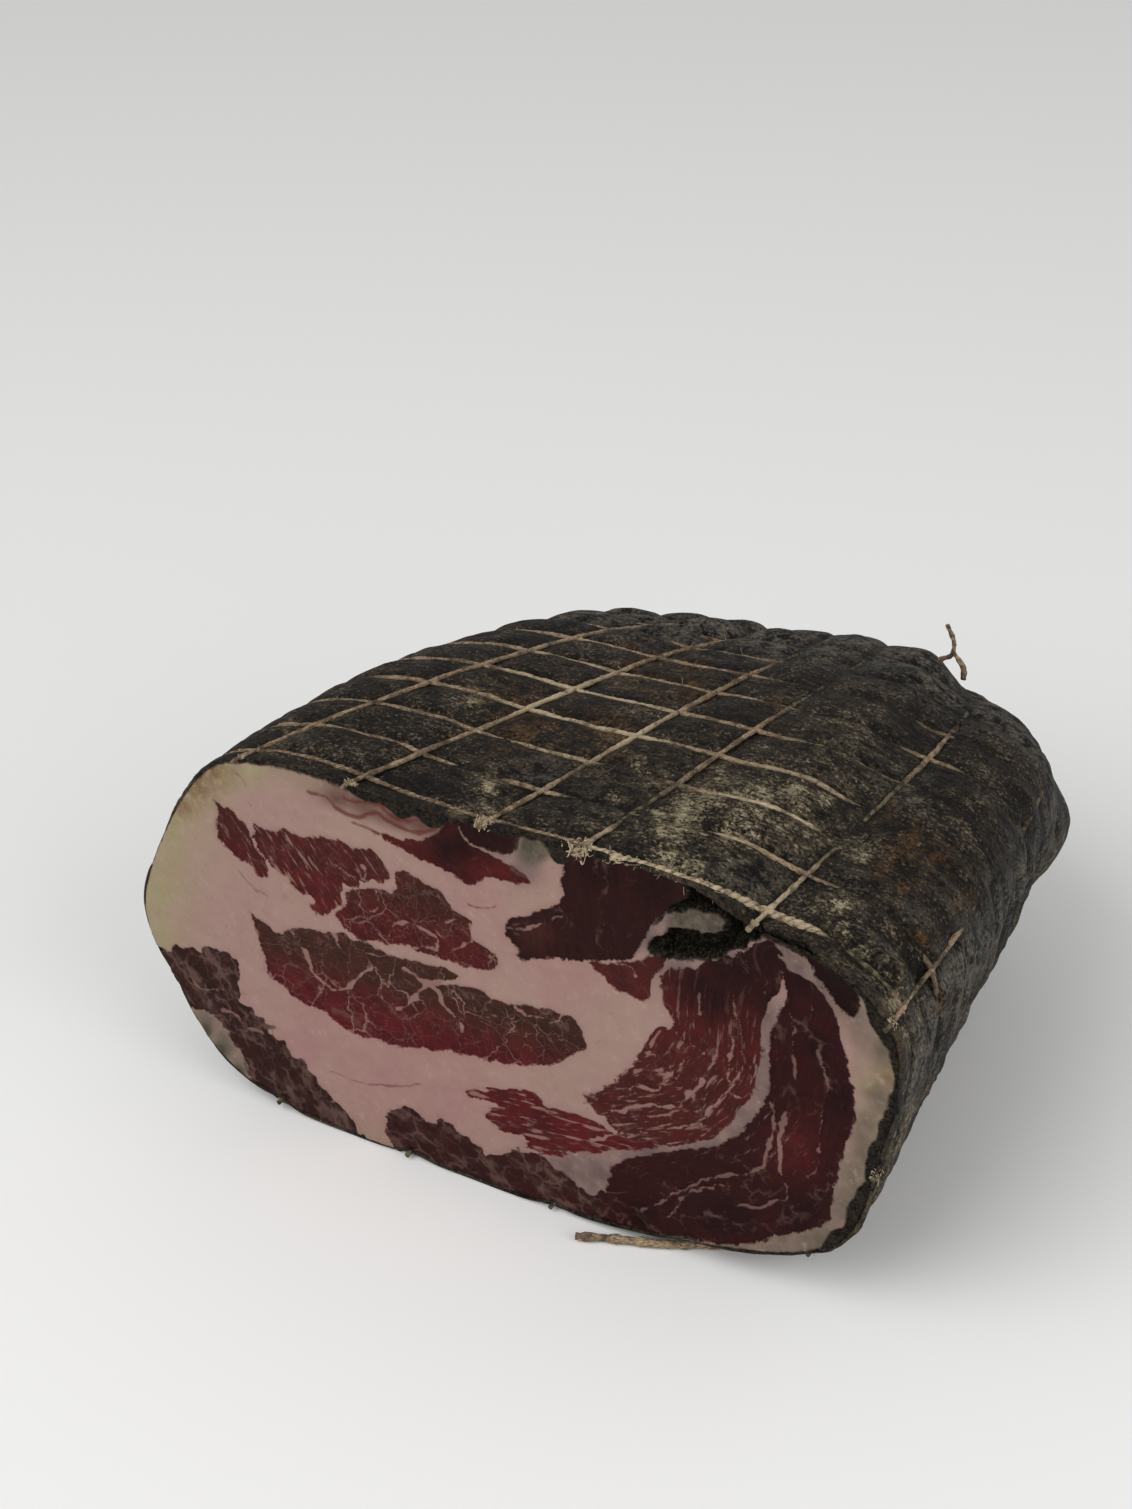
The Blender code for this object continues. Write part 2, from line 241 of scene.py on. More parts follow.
# %% The skin behind the cut
STATION_BACK = np.array([0, 20, 40, 60, 76, 89, 98, 104, 107.0])
STATION_RIGHT = np.array([64, 63.5, 61.5, 58, 53, 44, 34.5, 25, 17])
STATION_LEFT = np.array([-64, -63.5, -61, -56, -49, -39, -28, -14, -3])
STATION_TOP_RIGHT = np.array([66, 66.5, 65.5, 62.5, 59.5, 55, 47.5, 38.5, 31])
STATION_TOP_LEFT = np.array([66, 64.5, 62.5, 58.5, 55, 50, 43, 35, 30])
STATION_BOTTOM = np.array([0, 0, 0, 0.5, 2, 6, 11, 16, 19])
STATION_UNDERCUT = np.array([0, 5, 8, 8, 7, 5, 3, 1, 0])
UNDERCUT_BEND = 1.5
BELLY_SAG, BELLY_SAG_LENGTH, BELLY_SHARE = 3.0, 30.0, 0.2

# %% The skin as a function of two places


def eased(back, heights):
    """A smooth curve through the heights at the stations, read at back: the Hermite cubic of each
    span, with the slope at a station taken from its neighbours."""
    slopes = np.gradient(heights, STATION_BACK)
    i = np.clip(np.searchsorted(STATION_BACK, back, side="right") - 1, 0, len(heights) - 2)
    width = STATION_BACK[i + 1] - STATION_BACK[i]
    f = (back - STATION_BACK[i]) / width
    rise = f * f * (3 - 2 * f)
    start = f * (1 - f) ** 2 * width * slopes[i]
    end = f * f * (f - 1) * width * slopes[i + 1]
    return (1 - rise) * heights[i] + rise * heights[i + 1] + start + end


def outline_at(girth, axis):
    """The outline's x (axis 0) or z (axis 1) this far round it, between the curve's points."""
    return np.interp(girth % GIRTH, ALONG_GIRTH, CUT_CURVE[:, axis])


def cut_place(girth):
    """(x, z) of the cut outline this far round it."""
    return np.stack([outline_at(girth, 0), outline_at(girth, 1)], -1)


def skin(girth, back):
    """The outer form: the outline's x is stretched between the station's left and right, its z between
    bottom and top; the lower right is drawn in by the undercut, and the belly sags to the table."""
    across = outline_at(girth, 0) / CUT_WIDTH + 0.5
    up = outline_at(girth, 1) / CUT_HEIGHT
    right, left = eased(back, STATION_RIGHT), eased(back, STATION_LEFT)
    undercut = eased(back, STATION_UNDERCUT)
    recess = undercut * np.clip(1 - up, 0, 1) ** UNDERCUT_BEND * np.clip(2 * across - 1, 0, 1)
    top_right, top_left = eased(back, STATION_TOP_RIGHT), eased(back, STATION_TOP_LEFT)
    top = top_left + (top_right - top_left) * ramp(across, 0, 1)
    bottom = eased(back, STATION_BOTTOM)
    z = bottom + (top - bottom) * up
    sag = BELLY_SAG * ramp(back, 0, BELLY_SAG_LENGTH) * ramp(up, BELLY_SHARE, 0)
    return np.stack([left + (right - left) * across - recess, back, np.maximum(z - sag, 0)], -1)


# %% Which way is out, and the lumps of the tied end
SLOPE_STEP = 0.3


def outward(girth, back):
    """The unit vectors that point out of the skin: across its slopes along the back and the girth."""
    behind = np.minimum(back + SLOPE_STEP, STATION_BACK[-1])
    before = np.maximum(back - SLOPE_STEP, 0)
    along = skin(girth, behind) - skin(girth, before)
    around = skin(girth + 3 * SLOPE_STEP, back) - skin(girth - 3 * SLOPE_STEP, back)
    out = np.cross(along, around)
    return out / np.linalg.norm(out, axis=-1, keepdims=True)


# Place round and back, reach round and back, and height, all in mm.
LUMPS = ((320, 84, 12, 8, 6.5), (20, 93, 14, 12, -3.5))


def lumps(girth, back):
    """How far the lumps of the tied end stand out: bells of their own reach round a place."""
    total = 0
    for place_round, place_back, reach_round, reach_back, height in LUMPS:
        aside = (girth - place_round + GIRTH / 2) % GIRTH - GIRTH / 2
        steepness = (aside / reach_round) ** 2 + ((back - place_back) / reach_back) ** 2
        total = total + height * np.exp(-steepness)
    return total


print("skin at the tied end, mm:", skin(np.array([0.0]), STATION_BACK[-1:]).round(1))

# %% [markdown]
# ## The net's own coordinates
# The netting has 14 lengthwise strings and 13 hoops round the girth. Its cells are not quite square
# to the meat: the lengthwise strings twist a little and the hoops wander. So the rind and the twine
# both use net coordinates, in which a string is a straight line, and one function turns these into a
# place on the skin. The pillows of rind between the strings then stay in step with the twine.

# %% Strings and hoops
STRING_PLACES = np.array([
    11.8, 34.8, 61.9, 77.6, 100.3, 120.2, 150.3, 174.3, 200.9, 225.5, 250.9, 274, 294.9, 315.7,
])
HOOPS = np.array([2.8, 12.4, 22.0, 31.6, 41.2, 50.8, 60.4, 69.5, 79.0, 87.5, 95.0, 101.5, 106.0])
HOOP_WANDER = np.array([
    (0, 0), (12, 1.5), (35, 2), (56, -1.9), (78, -0.8), (107, 1.5), (150, 0), (240, 0),
])
WANDER_END = (60.0, 95.0)
FRONT_DIP, DIP_PLACE, DIP_REACH = 1.7, 45.0, 8.0
TWIST, TWIST_LENGTH = 0.3, 60.0
LAST_HOOP = HOOPS[-1]


def net_place(string, hoop):
    """Girth and back of a place in the net: the strings lean by a quarter sine wave over the first
    60 mm, most on the left, and the hoops shift by their wander, which fades at both ends. The first
    hoop also dips towards the cut in one place."""
    across = outline_at(string, 0) / CUT_WIDTH + 0.5
    lean = np.sin(np.clip(hoop / TWIST_LENGTH, 0, 1) * np.pi / 2)
    girth = string - TWIST * (1 - across) * TWIST_LENGTH * lean
    wander = np.interp(string % GIRTH, np.r_[HOOP_WANDER[:, 0], GIRTH], np.r_[HOOP_WANDER[:, 1], 0])
    fade = (1 - ramp(hoop, *WANDER_END)) * ramp(hoop, 0, HOOPS[0])
    dip = FRONT_DIP * np.exp(-(((string - DIP_PLACE) / DIP_REACH) ** 2)) * ramp(hoop, HOOPS[1], HOOPS[0])
    return girth, hoop + (wander - dip) * fade


def share_across(value, places):
    """Where value lies between its two neighbours in places: 0 on the one before, 1 on the next."""
    i = np.clip(np.searchsorted(places, value, side="right") - 1, 0, len(places) - 2)
    return (value - places[i]) / (places[i + 1] - places[i])


print("net cells:", len(STRING_PLACES) * (len(HOOPS) - 1))

# %% [markdown]
# ## Meshes from grids
# Each piece is one or more grids of points. Two helpers do the joining: one lists the faces of a grid
# that may close on itself, and one makes the mesh, its attributes and its object. An attribute keeps a
# number per point, such as how mouldy the rind is there, for the material to read.

# %% Grid to object


def grid_faces(rows, columns, closed, first=0):
    """Corner indices of the faces between neighbouring rows; when closed, the last column meets the
    first. Rows that run away from the viewer and columns that run to the right face the viewer's up."""
    row = np.arange(rows - 1)[:, None]
    column = np.arange(columns if closed else columns - 1)[None, :]
    following = (column + 1) % columns
    corners = [row * columns + column, row * columns + following]
    corners += [(row + 1) * columns + following, (row + 1) * columns + column]
    return first + np.stack(np.broadcast_arrays(*corners), -1).reshape(-1, 4)


def make_piece(name, points, faces, attributes=()):
    """A smooth-shaded object from points in working mm, lists of faces and named point attributes."""
    mesh = bpy.data.meshes.new(name)
    sizes = np.concatenate([np.full(len(some), some.shape[1]) for some in faces])
    corners = np.concatenate([some.reshape(-1) for some in faces]).astype(np.int32)
    mesh.vertices.add(len(points))
    mesh.vertices.foreach_set("co", to_model(points).astype(np.float32).reshape(-1))
    mesh.loops.add(len(corners))
    mesh.loops.foreach_set("vertex_index", corners)
    mesh.polygons.add(len(sizes))
    mesh.polygons.foreach_set("loop_start", np.r_[0, np.cumsum(sizes)[:-1]].astype(np.int32))
    mesh.update(calc_edges=True)
    mesh.validate()
    mesh.shade_smooth()
    for attribute, values in dict(attributes).items():
        values = np.asarray(values, np.float32)
        kind = "FLOAT_VECTOR" if values.ndim == 2 else "FLOAT"
        store = mesh.attributes.new(attribute, kind, "POINT")
        store.data.foreach_set("vector" if values.ndim == 2 else "value", values.reshape(-1))
    piece = bpy.data.objects.new(name, mesh)
    bpy.context.scene.collection.objects.link(piece)
    triangles = int((sizes - 2).sum())
    print(f"{name}: {len(points)} points, {triangles} triangles")
    return piece


# %% [markdown]
# ## The rind
# On the real piece the casing has dried onto the meat, shrunk into fine wrinkles round the girth, and
# swelled into pillows between the strings. A closed grid follows the net coordinates, so one formula
# gives the pillows: zero on the strings, nearly one over the middle of each cell. Noise adds the
# wrinkles and pits. In front, the rind turns in as a thin crumbly rim round the cut face.

# %% Grooves, and where mould has grown over them
GROOVE = 0.85
END_GROOVE = 2.7
TIP_GROOVE = 1.0
BASE_GROOVE = 1.5
TABLE_FADE = (6, 1)  # mm above the table between which the base's groove takes over
SUNK = 0.55  # the share of a groove's depth that mould fills
BURIED_SPOTS = (
    (483, 765, 3.5), (600, 803, 5), (640, 815, 6), (675, 825, 5), (640, 790, 4), (848, 836, 4),
    (905, 905, 9), (935, 850, 10), (880, 940, 8), (985, 800, 10), (917, 955, 3.5), (1000, 720, 12),
    (870, 680, 12), (960, 690, 9), (880, 850, 7), (960, 900, 9),
)
CLEAN_SPOTS = (
    (905, 1010, 4), (937, 975, 2.6), (955, 942, 2.6), (775, 905, 4), (935, 752, 4), (600, 850, 4),
    (632, 861, 4), (665, 872, 4), (700, 884, 4), (735, 896, 4), (805, 918, 3.5),
)
FLAT_BELL = 4  # the power of a bell with a flat top and steep sides
CLEANED = 0.9


def groove_depth(hoop):
    """The strings cut deeper towards the tied end and less right at its tip."""
    deeper = (END_GROOVE - GROOVE) * ramp(hoop, 55, 85)
    return GROOVE + deeper - (END_GROOVE - TIP_GROOVE) * ramp(hoop, 93, 104)


def depth_at(bare, hoop):
    """How near the table a place is, from 0 to 1, and how deep its groove is: at least the base's
    depth next to the table."""
    near_table = ramp(bare[..., 2], *TABLE_FADE)
    depth = groove_depth(hoop)
    return near_table, depth + np.maximum(BASE_GROOVE - depth, 0) * near_table


def buried(points):
    """0 where a string lies clean on the rind, 1 where mould has grown over it: the spots seen in the
    photo, patches of noise where the photo doesn't reach, and each clean spot takes off its share."""
    right, far = ramp(points[..., 0], 50, 60), ramp(points[..., 1], 70, 88)
    share = np.clip(0.9 * right + 0.5 * far + 0.5 * ramp(points[..., 2], 40, 25), 0, 0.95)
    patches = noise(points, 14, 901, 2) + 1.1 * share
    total = np.maximum(spots(points, BURIED_SPOTS, FLAT_BELL), ramp(patches, 0.42, 0.66))
    for bell in bells(points, CLEAN_SPOTS, FLAT_BELL):
        total = total * (1 - CLEANED * bell)
    return total


# %% Pillows, folds and wrinkles
PILLOW_FLATNESS, END_FLATNESS = 5, 2.2
HOOP_KNOTS = np.r_[-6.8, HOOPS, LAST_HOOP + 6]  # the hoops, and one more past each end
STRING_KNOTS = np.r_[STRING_PLACES[-1] - GIRTH, STRING_PLACES, STRING_PLACES[0] + GIRTH]


def pillow(string, hoop):
    """0 on a string or hoop and near 1 inside a cell: (1 - |u|^n)(1 - |v|^n), u and v going from -1
    to 1 across the cell; a high n makes a flat pillow with steep edges."""
    along_girth = share_across(string % GIRTH, STRING_KNOTS)
    going_back = share_across(hoop, HOOP_KNOTS)
    flatness = PILLOW_FLATNESS + (END_FLATNESS - PILLOW_FLATNESS) * ramp(hoop, 50, 80)
    return (1 - np.abs(2 * along_girth - 1) ** flatness) * (1 - np.abs(2 * going_back - 1) ** flatness)


def creases(points):
    """The large folds in mm, as sharp ridges where slow noise is near zero: round the girth towards
    the tied end, and up and down on the right side."""
    far = 0.5 - np.abs(noise(points * (0.35, 1, 0.35), 6.5, 47, 2)) * 2
    side = 0.5 - np.abs(noise(points * (0.3, 1, 0.3), 4.2, 59, 2)) * 2
    return 0.8 * far * ramp(points[..., 1], 55, 85) + 0.9 * side * ramp(points[..., 0], 46, 60)


def wrinkles(points):
    """Relief of the casing in mm: wrinkles four times as long round the girth as across, pits where
    fine noise is low, a slow waviness, and the large folds."""
    along_girth = points * (0.28, 1, 0.28)
    fine = noise(along_girth, 1.3, 11, 2)
    ridges = 1 - np.abs(noise(along_girth, 2.6, 23, 2)) * 2
    pits = np.minimum(noise(points, 1.1, 37) + 0.45, 0)
    slow = 0.35 * noise(points, 9, 41, 2)
    return 0.2 * fine + 0.2 * ridges + 0.4 * pits + slow + creases(points)


# %% The grid of the rind
GIRTH_COLUMNS = 536
RIND_ROWS = 152
TIP_SHAPE_BACK = np.array([107, 108, 109.2, 110.3, 111.2, 111.8, 112.0])
TIP_SHAPE_SIZE = np.array([0.76, 0.69, 0.64, 0.55, 0.42, 0.24, 0.08])
END_TIP = np.array([7.0, 112.0, 24.5])
FIRST_ROW_HOOP = 0.7

string = np.tile(np.linspace(0, GIRTH, GIRTH_COLUMNS, endpoint=False), (RIND_ROWS, 1))
spacing = np.linspace(0, 1, RIND_ROWS)[:, None]
hoop = np.broadcast_to(FIRST_ROW_HOOP + (LAST_HOOP - FIRST_ROW_HOOP) * spacing, string.shape)
girth, back = net_place(string, hoop)
bare = skin(girth, back)
out = outward(girth, back)
near_table, depth = depth_at(bare, hoop)
rise = pillow(string, hoop) - 1
relief = wrinkles(bare + lumps(girth, back)[..., None] * out)
relief = relief * (1 - 0.8 * near_table) * ramp(hoop, -1.5, 1.5)
height = lumps(girth, back) + depth * rise * (1 - SUNK * buried(bare) * (1 - near_table)) + relief
rind_points = bare + out * height[..., None]
rind_points[..., 2] = np.maximum(rind_points[..., 2], 0)
print("rind stands out at most, mm:", round(float(height.max()), 2))

# %% [markdown]
# The rim is a few more rows: the outline at the cut, then inwards and back into the meat, where a
# flat cap closes the body out of sight behind the cut face. At the back, rows shrink to the knot.

# %% The rim round the cut and the tied tip
# How far in from the outline and how far back each row of the rim is, in mm.
RIM_ROWS = ((1.2, 7.4), (1.2, 1.2), (0.6, 0.15), (0.35, -0.02), (0.05, 0.2))
RIM_LOOSE = 0.2
NOTCH_PLACE, NOTCH_REACH, NOTCH_DEPTH, NOTCH_ABOVE = 46.0, 5.5, 1.2, 50.0
PLEATS, PLEAT_HEIGHT = 22, 0.35


def inward_at_cut(string):
    """The unit vectors, in the cut plane, that point from the outline into the meat."""
    along = cut_place(string + 0.7) - cut_place(string - 0.7)
    along /= np.linalg.norm(along, axis=-1, keepdims=True)
    return np.stack([-along[..., 1], along[..., 0]], -1)


edge_string = string[0]
inward = inward_at_cut(edge_string)
edge = cut_place(edge_string)
notch = np.exp(-(((edge[:, 0] - NOTCH_PLACE) / NOTCH_REACH) ** 4)) * (edge[:, 1] > NOTCH_ABOVE)
edge_height = height[0]
rim = []
for inset, back_of_rim in RIM_ROWS:
    outer = inset < 1
    crumbs = noise(np.column_stack([edge, np.full(len(edge), 10 * inset)]), 1.1, 53, 2)
    loose = RIM_LOOSE * outer * crumbs
    flat = edge + inward * (inset - edge_height * outer + loose)[:, None]
    forward = back_of_rim - loose + NOTCH_DEPTH * notch * outer
    rim.append(np.column_stack([flat[:, 0], forward, flat[:, 1]]))
rim = np.array(rim)
rim[..., 2] = np.maximum(rim[..., 2], 0)
tip = END_TIP + (rind_points[-1] - END_TIP) * TIP_SHAPE_SIZE[:, None, None]
tip[..., 1] = TIP_SHAPE_BACK[:, None] + (rind_points[-1, :, 1] - LAST_HOOP) * TIP_SHAPE_SIZE[:, None]
pleats = PLEAT_HEIGHT * np.cos(2 * np.pi * PLEATS * edge_string / GIRTH + 2 * noise(tip, 6, 61))
tip += pleats[..., None] * (tip - END_TIP) / np.linalg.norm(tip - END_TIP, axis=-1, keepdims=True)
tip[..., 1] = np.minimum(tip[..., 1], END_TIP[1])
whole = np.concatenate([rim, rind_points, tip])
points = whole.reshape(-1, 3)
caps = np.arange(GIRTH_COLUMNS)[None, :]
faces = [grid_faces(len(whole), GIRTH_COLUMNS, True)[:, ::-1], caps, len(points) - 1 - caps]

# %% [markdown]
# More numbers are kept for every point of the rind, for its material: how pale with specks of mould it is,
# how hazy under a thin coat of it, how rusty (one rusty spot is painted shadow), how grey with bloom, how
# high or low on a fold (lighter on the ridges and darker in the hollows, as painted light and shade), how
# far down in a groove (darker there, as painted shade), and whether it is the rim. Spots seen in the photo
# are given by their pixel and their reach in mm. Noise carries the same look round the sides that the photo
# doesn't show.

# %% Where the rind is pale, hazy, ashy and rusty, and one painted shadow
PALE_SPOTS = (
    (690, 815, 3.0), (712, 803, 2.6), (745, 817, 3.2), (730, 832, 2.2), (672, 835, 2.0),
    (665, 858, 2.6), (690, 868, 1.6), (797, 792, 1.7), (825, 800, 1.2), (765, 802, 1.6),
    (863, 857, 1.0), (842, 905, 1.2), (488, 787, 1.2), (473, 701, 0.9), (611, 793, 1.0),
    (640, 762, 1.1), (720, 774, 1.0), (845, 930, 1.4), (862, 952, 1.2), (880, 975, 1.2),
    (890, 1003, 1.4), (897, 1040, 1.4), (455, 812, 1.0), (655, 815, 1.4),
)
HAZY_SPOTS = (
    (700, 825, 9), (790, 820, 10), (760, 785, 6), (610, 810, 4.5), (850, 780, 7), (850, 745, 6),
    (843, 897, 4.5), (870, 960, 3.5), (895, 1020, 3), (660, 760, 4), (480, 700, 3), (490, 790, 3),
)
# Bare skin with a grey bloom.
ASHEN_SPOTS = (
    (725, 872, 4), (772, 880, 4), (850, 892, 2.5), (905, 785, 3), (540, 770, 3),
)
# Rusty blotches, except (525, 722), which is the painted shadow of the other half lying on top.
RUST_AND_SHADOW_SPOTS = (
    (640, 673, 3.5), (690, 682, 3), (779, 706, 1.6), (935, 858, 2.6), (925, 880, 2.0), (905, 893, 1.6),
    (884, 808, 1.5), (912, 835, 2.0), (960, 903, 1.6), (920, 940, 2.0), (945, 1000, 1.6),
    (880, 870, 1.2), (895, 1060, 1.6), (902, 850, 2.2), (560, 690, 2), (525, 722, 5), (610, 735, 3.5),
)

# %% The marks of the rind
TIP_SUNK = 0.3


def mould_marks(points):
    """How pale, hazy, rusty and ashy each point is, one rusty spot being the painted shadow of the other
    half: its spots, or patches of slow noise where the photo doesn't reach. The right side and the tied end
    are ashy all over."""
    unseen = np.clip(ramp(points[..., 0], -20, -50) + ramp(points[..., 2], 42, 25), 0, 1)
    patch = noise(points, 11, 71, 3)
    pale = np.maximum(spots(points, PALE_SPOTS), 0.6 * unseen * ramp(patch, 0.1, 0.5))
    hazy = np.maximum(spots(points, HAZY_SPOTS), unseen * ramp(patch, -0.1, 0.5))
    slow = noise(points, 13, 83, 3)
    rust = np.maximum(spots(points, RUST_AND_SHADOW_SPOTS), 0.5 * unseen * ramp(slow, 0.25, 0.55))
    to_the_right = points[..., 0] / eased(np.minimum(points[..., 1], LAST_HOOP), STATION_RIGHT)
    ashy = np.maximum(ramp(to_the_right, 0.95, 1.0), 0.9 * ramp(points[..., 1], 60, 78))
    ashy = np.maximum(ashy, 0.6 * spots(points, ASHEN_SPOTS))
    return {"pale": pale, "hazy": hazy, "rust": rust, "ashy": ashy, "fold": creases(points)}


# How far down in a groove each point of the rind is; the material paints shade there.
sunk = np.concatenate([np.zeros(rim.shape[:2]), -rise, np.full(tip.shape[:2], TIP_SUNK)])
at_rim = np.concatenate([np.ones(rim.shape[:2]), ramp(hoop, 1.5, 0.6), np.zeros(tip.shape[:2])])
rind_marks = mould_marks(points) | {"groove": sunk.reshape(-1), "rim": at_rim.reshape(-1)}
rind = make_piece("mouldy_rind", points, faces, rind_marks)

# %% [markdown]
# ## The cut face
# A knife went across the muscles, so the face shows dark red lean set in pale fat, with thin seams of fat
# inside the lean. The real height differences are a few tenths of a millimetre, and the colours carry the
# picture. The muscle outlines below were drawn as pixels of the photo. They are cast on the cut plane, and
# for every point of a fine grid the signed distance to the nearest outline tells lean from fat. A distance
# stays sharp between grid points, which a painted colour would not.

# %% The muscles, as outlines in pixels of the photo
# Each is (brown above, brown below, darkness), then its outline. 0 is fresh red, 1 dry brown.
MUSCLES = {
    "collar_tip": ((0.6, 0.3, 0.1), (
        (212, 799), (219, 805), (224, 810), (228, 808), (239, 820), (249, 830), (253, 841), (257, 852),
        (265, 862), (268, 874), (261, 877), (252, 866), (239, 857), (228, 849), (219, 839), (216, 828),
        (217, 815))),
    "upper_left": ((0.45, 0.1, 0.05), (
        (256, 826), (266, 828), (282, 831), (304, 837), (324, 839), (336, 840), (349, 846), (361, 850),
        (375, 854), (382, 863), (387, 877), (379, 883), (366, 880), (354, 887), (343, 884), (342, 894),
        (343, 904), (333, 910), (320, 915), (310, 908), (313, 899), (303, 893), (296, 889), (289, 879),
        (279, 872), (269, 862), (259, 849), (253, 834))),
    "upper_middle": ((0.75, 0.25, 0.1), (
        (394, 873), (404, 871), (416, 877), (426, 885), (438, 889), (447, 901), (454, 911), (466, 918),
        (471, 923), (472, 935), (481, 945), (490, 950), (498, 959), (496, 967), (485, 970), (468, 967),
        (451, 962), (433, 955), (416, 951), (404, 944), (389, 944), (374, 941), (359, 940), (346, 929),
        (335, 915), (346, 904), (347, 892), (361, 889), (376, 889), (389, 893), (395, 887))),
    "big_oval": ((1.0, 0.0, 0.05), (
        (250, 912), (257, 919), (268, 925), (279, 933), (292, 930), (309, 930), (324, 933), (341, 932),
        (351, 939), (369, 945), (386, 953), (404, 958), (423, 963), (441, 968), (461, 977), (443, 981),
        (446, 984), (463, 985), (481, 988), (493, 998), (510, 1005), (524, 1006), (541, 1008),
        (556, 1011), (565, 1014), (575, 1019), (582, 1034), (586, 1049), (575, 1054), (563, 1059),
        (546, 1064), (522, 1065), (493, 1061), (461, 1054), (438, 1050), (416, 1048), (396, 1046),
        (384, 1041), (364, 1038), (349, 1031), (335, 1021), (326, 1012), (314, 1007), (302, 1003),
        (289, 992), (277, 981), (268, 973), (265, 959), (261, 941), (256, 928))),
    "eye": ((0.7, 0.8, 0.72), (
        (510, 922), (524, 916), (546, 909), (561, 899), (562, 887), (563, 870), (570, 855), (599, 858),
        (626, 864), (650, 871), (674, 880), (692, 888), (694, 904), (674, 911), (655, 922), (648, 933),
        (643, 945), (634, 956), (614, 959), (594, 961), (575, 961), (556, 958), (539, 958), (527, 961),
        (517, 957), (516, 947), (508, 940), (504, 934))),
    "under_eye": ((0.6, 0.5, 0.1), (
        (590, 963), (604, 963), (621, 961), (633, 962), (648, 958), (662, 953), (672, 955), (663, 965),
        (656, 974), (651, 986), (650, 999), (638, 999), (630, 995), (614, 986), (602, 974))),
    "lid_upper": ((0.5, 0.5, 0.85), (
        (457, 811), (470, 818), (493, 827), (519, 832), (515, 851), (502, 855), (484, 851), (471, 844),
        (461, 833))),
    "lid_lower": ((0.5, 0.2, 0.4), (
        (368, 828), (387, 835), (404, 839), (422, 839), (435, 835), (442, 827), (449, 818), (459, 821),
        (461, 834), (469, 845), (481, 851), (493, 858), (506, 865), (521, 872), (531, 883), (514, 884),
        (500, 880), (486, 878), (471, 887), (456, 878), (436, 867), (416, 857), (399, 847), (379, 835))),
    "left_flank": ((0.9, 0.9, 0.6), (
        (146, 948), (165, 950), (180, 946), (195, 949), (210, 946), (225, 950), (236, 959), (239, 979),
        (246, 994), (239, 998), (247, 1006), (262, 1016), (277, 1028), (271, 1033), (282, 1041),
        (292, 1056), (304, 1061), (314, 1076), (322, 1088), (331, 1095), (350, 1116), (366, 1148),
        (331, 1142), (282, 1122), (262, 1099), (253, 1082), (245, 1064), (236, 1045), (225, 1029),
        (212, 1016), (200, 1010), (188, 1008), (172, 994), (158, 976))),
    "bottom_left": ((0.6, 0.6, 0.6), (
        (383, 1122), (394, 1110), (417, 1111), (426, 1122), (439, 1119), (454, 1125), (466, 1138),
        (480, 1147), (485, 1156), (497, 1153), (515, 1149), (537, 1153), (555, 1168), (573, 1181),
        (589, 1193), (604, 1190), (622, 1185), (650, 1184), (662, 1240), (619, 1242), (558, 1226),
        (512, 1208), (466, 1194), (429, 1180), (405, 1162), (390, 1140))),
    "bottom_streaks": ((0.0, 0.1, 0.0), (
        (467, 1088), (484, 1088), (503, 1092), (521, 1091), (537, 1096), (546, 1107), (561, 1107),
        (579, 1113), (598, 1126), (616, 1135), (640, 1137), (662, 1137), (662, 1146), (640, 1148),
        (613, 1151), (589, 1154), (561, 1154), (540, 1152), (527, 1147), (524, 1135), (506, 1132),
        (491, 1123), (487, 1107), (496, 1103), (481, 1099), (469, 1097))),
    "seamed_inner": ((0.3, 0.5, 0.05), (
        (665, 972), (693, 967), (717, 961), (739, 955), (751, 946), (765, 939), (775, 945), (782, 960),
        (786, 975), (782, 988), (774, 998), (767, 1006), (765, 1025), (763, 1050), (761, 1070), (755, 1089),
        (744, 1104), (732, 1122), (718, 1136), (682, 1144), (644, 1147), (620, 1138), (602, 1119),
        (590, 1107), (579, 1093), (590, 1092), (605, 1082), (620, 1073), (634, 1061), (643, 1047),
        (651, 1033), (672, 1025), (667, 1008), (662, 993))),
    "seamed_outer": ((0.3, 0.3, 0.72), (
        (776, 950), (788, 969), (803, 978), (818, 989), (831, 1004), (837, 1021), (841, 1040),
        (847, 1059), (850, 1081), (855, 1110), (853, 1132), (844, 1154), (836, 1178), (834, 1202),
        (829, 1219), (811, 1231), (784, 1235), (766, 1240), (745, 1245), (717, 1244), (668, 1237),
        (632, 1228), (605, 1214),
        (608, 1177), (625, 1161), (649, 1155), (681, 1151), (716, 1145), (740, 1135), (755, 1117),
        (765, 1098), (769, 1086), (770, 1050), (773, 1025), (781, 1008), (786, 992), (781, 975))),
    "corner": ((0.6, 0.6, 0.95), (
        (779, 930), (804, 934), (828, 949), (843, 966), (855, 987), (861, 1007), (851, 1017),
        (841, 1009), (828, 991), (815, 977), (811, 965), (799, 954), (786, 946))),
}

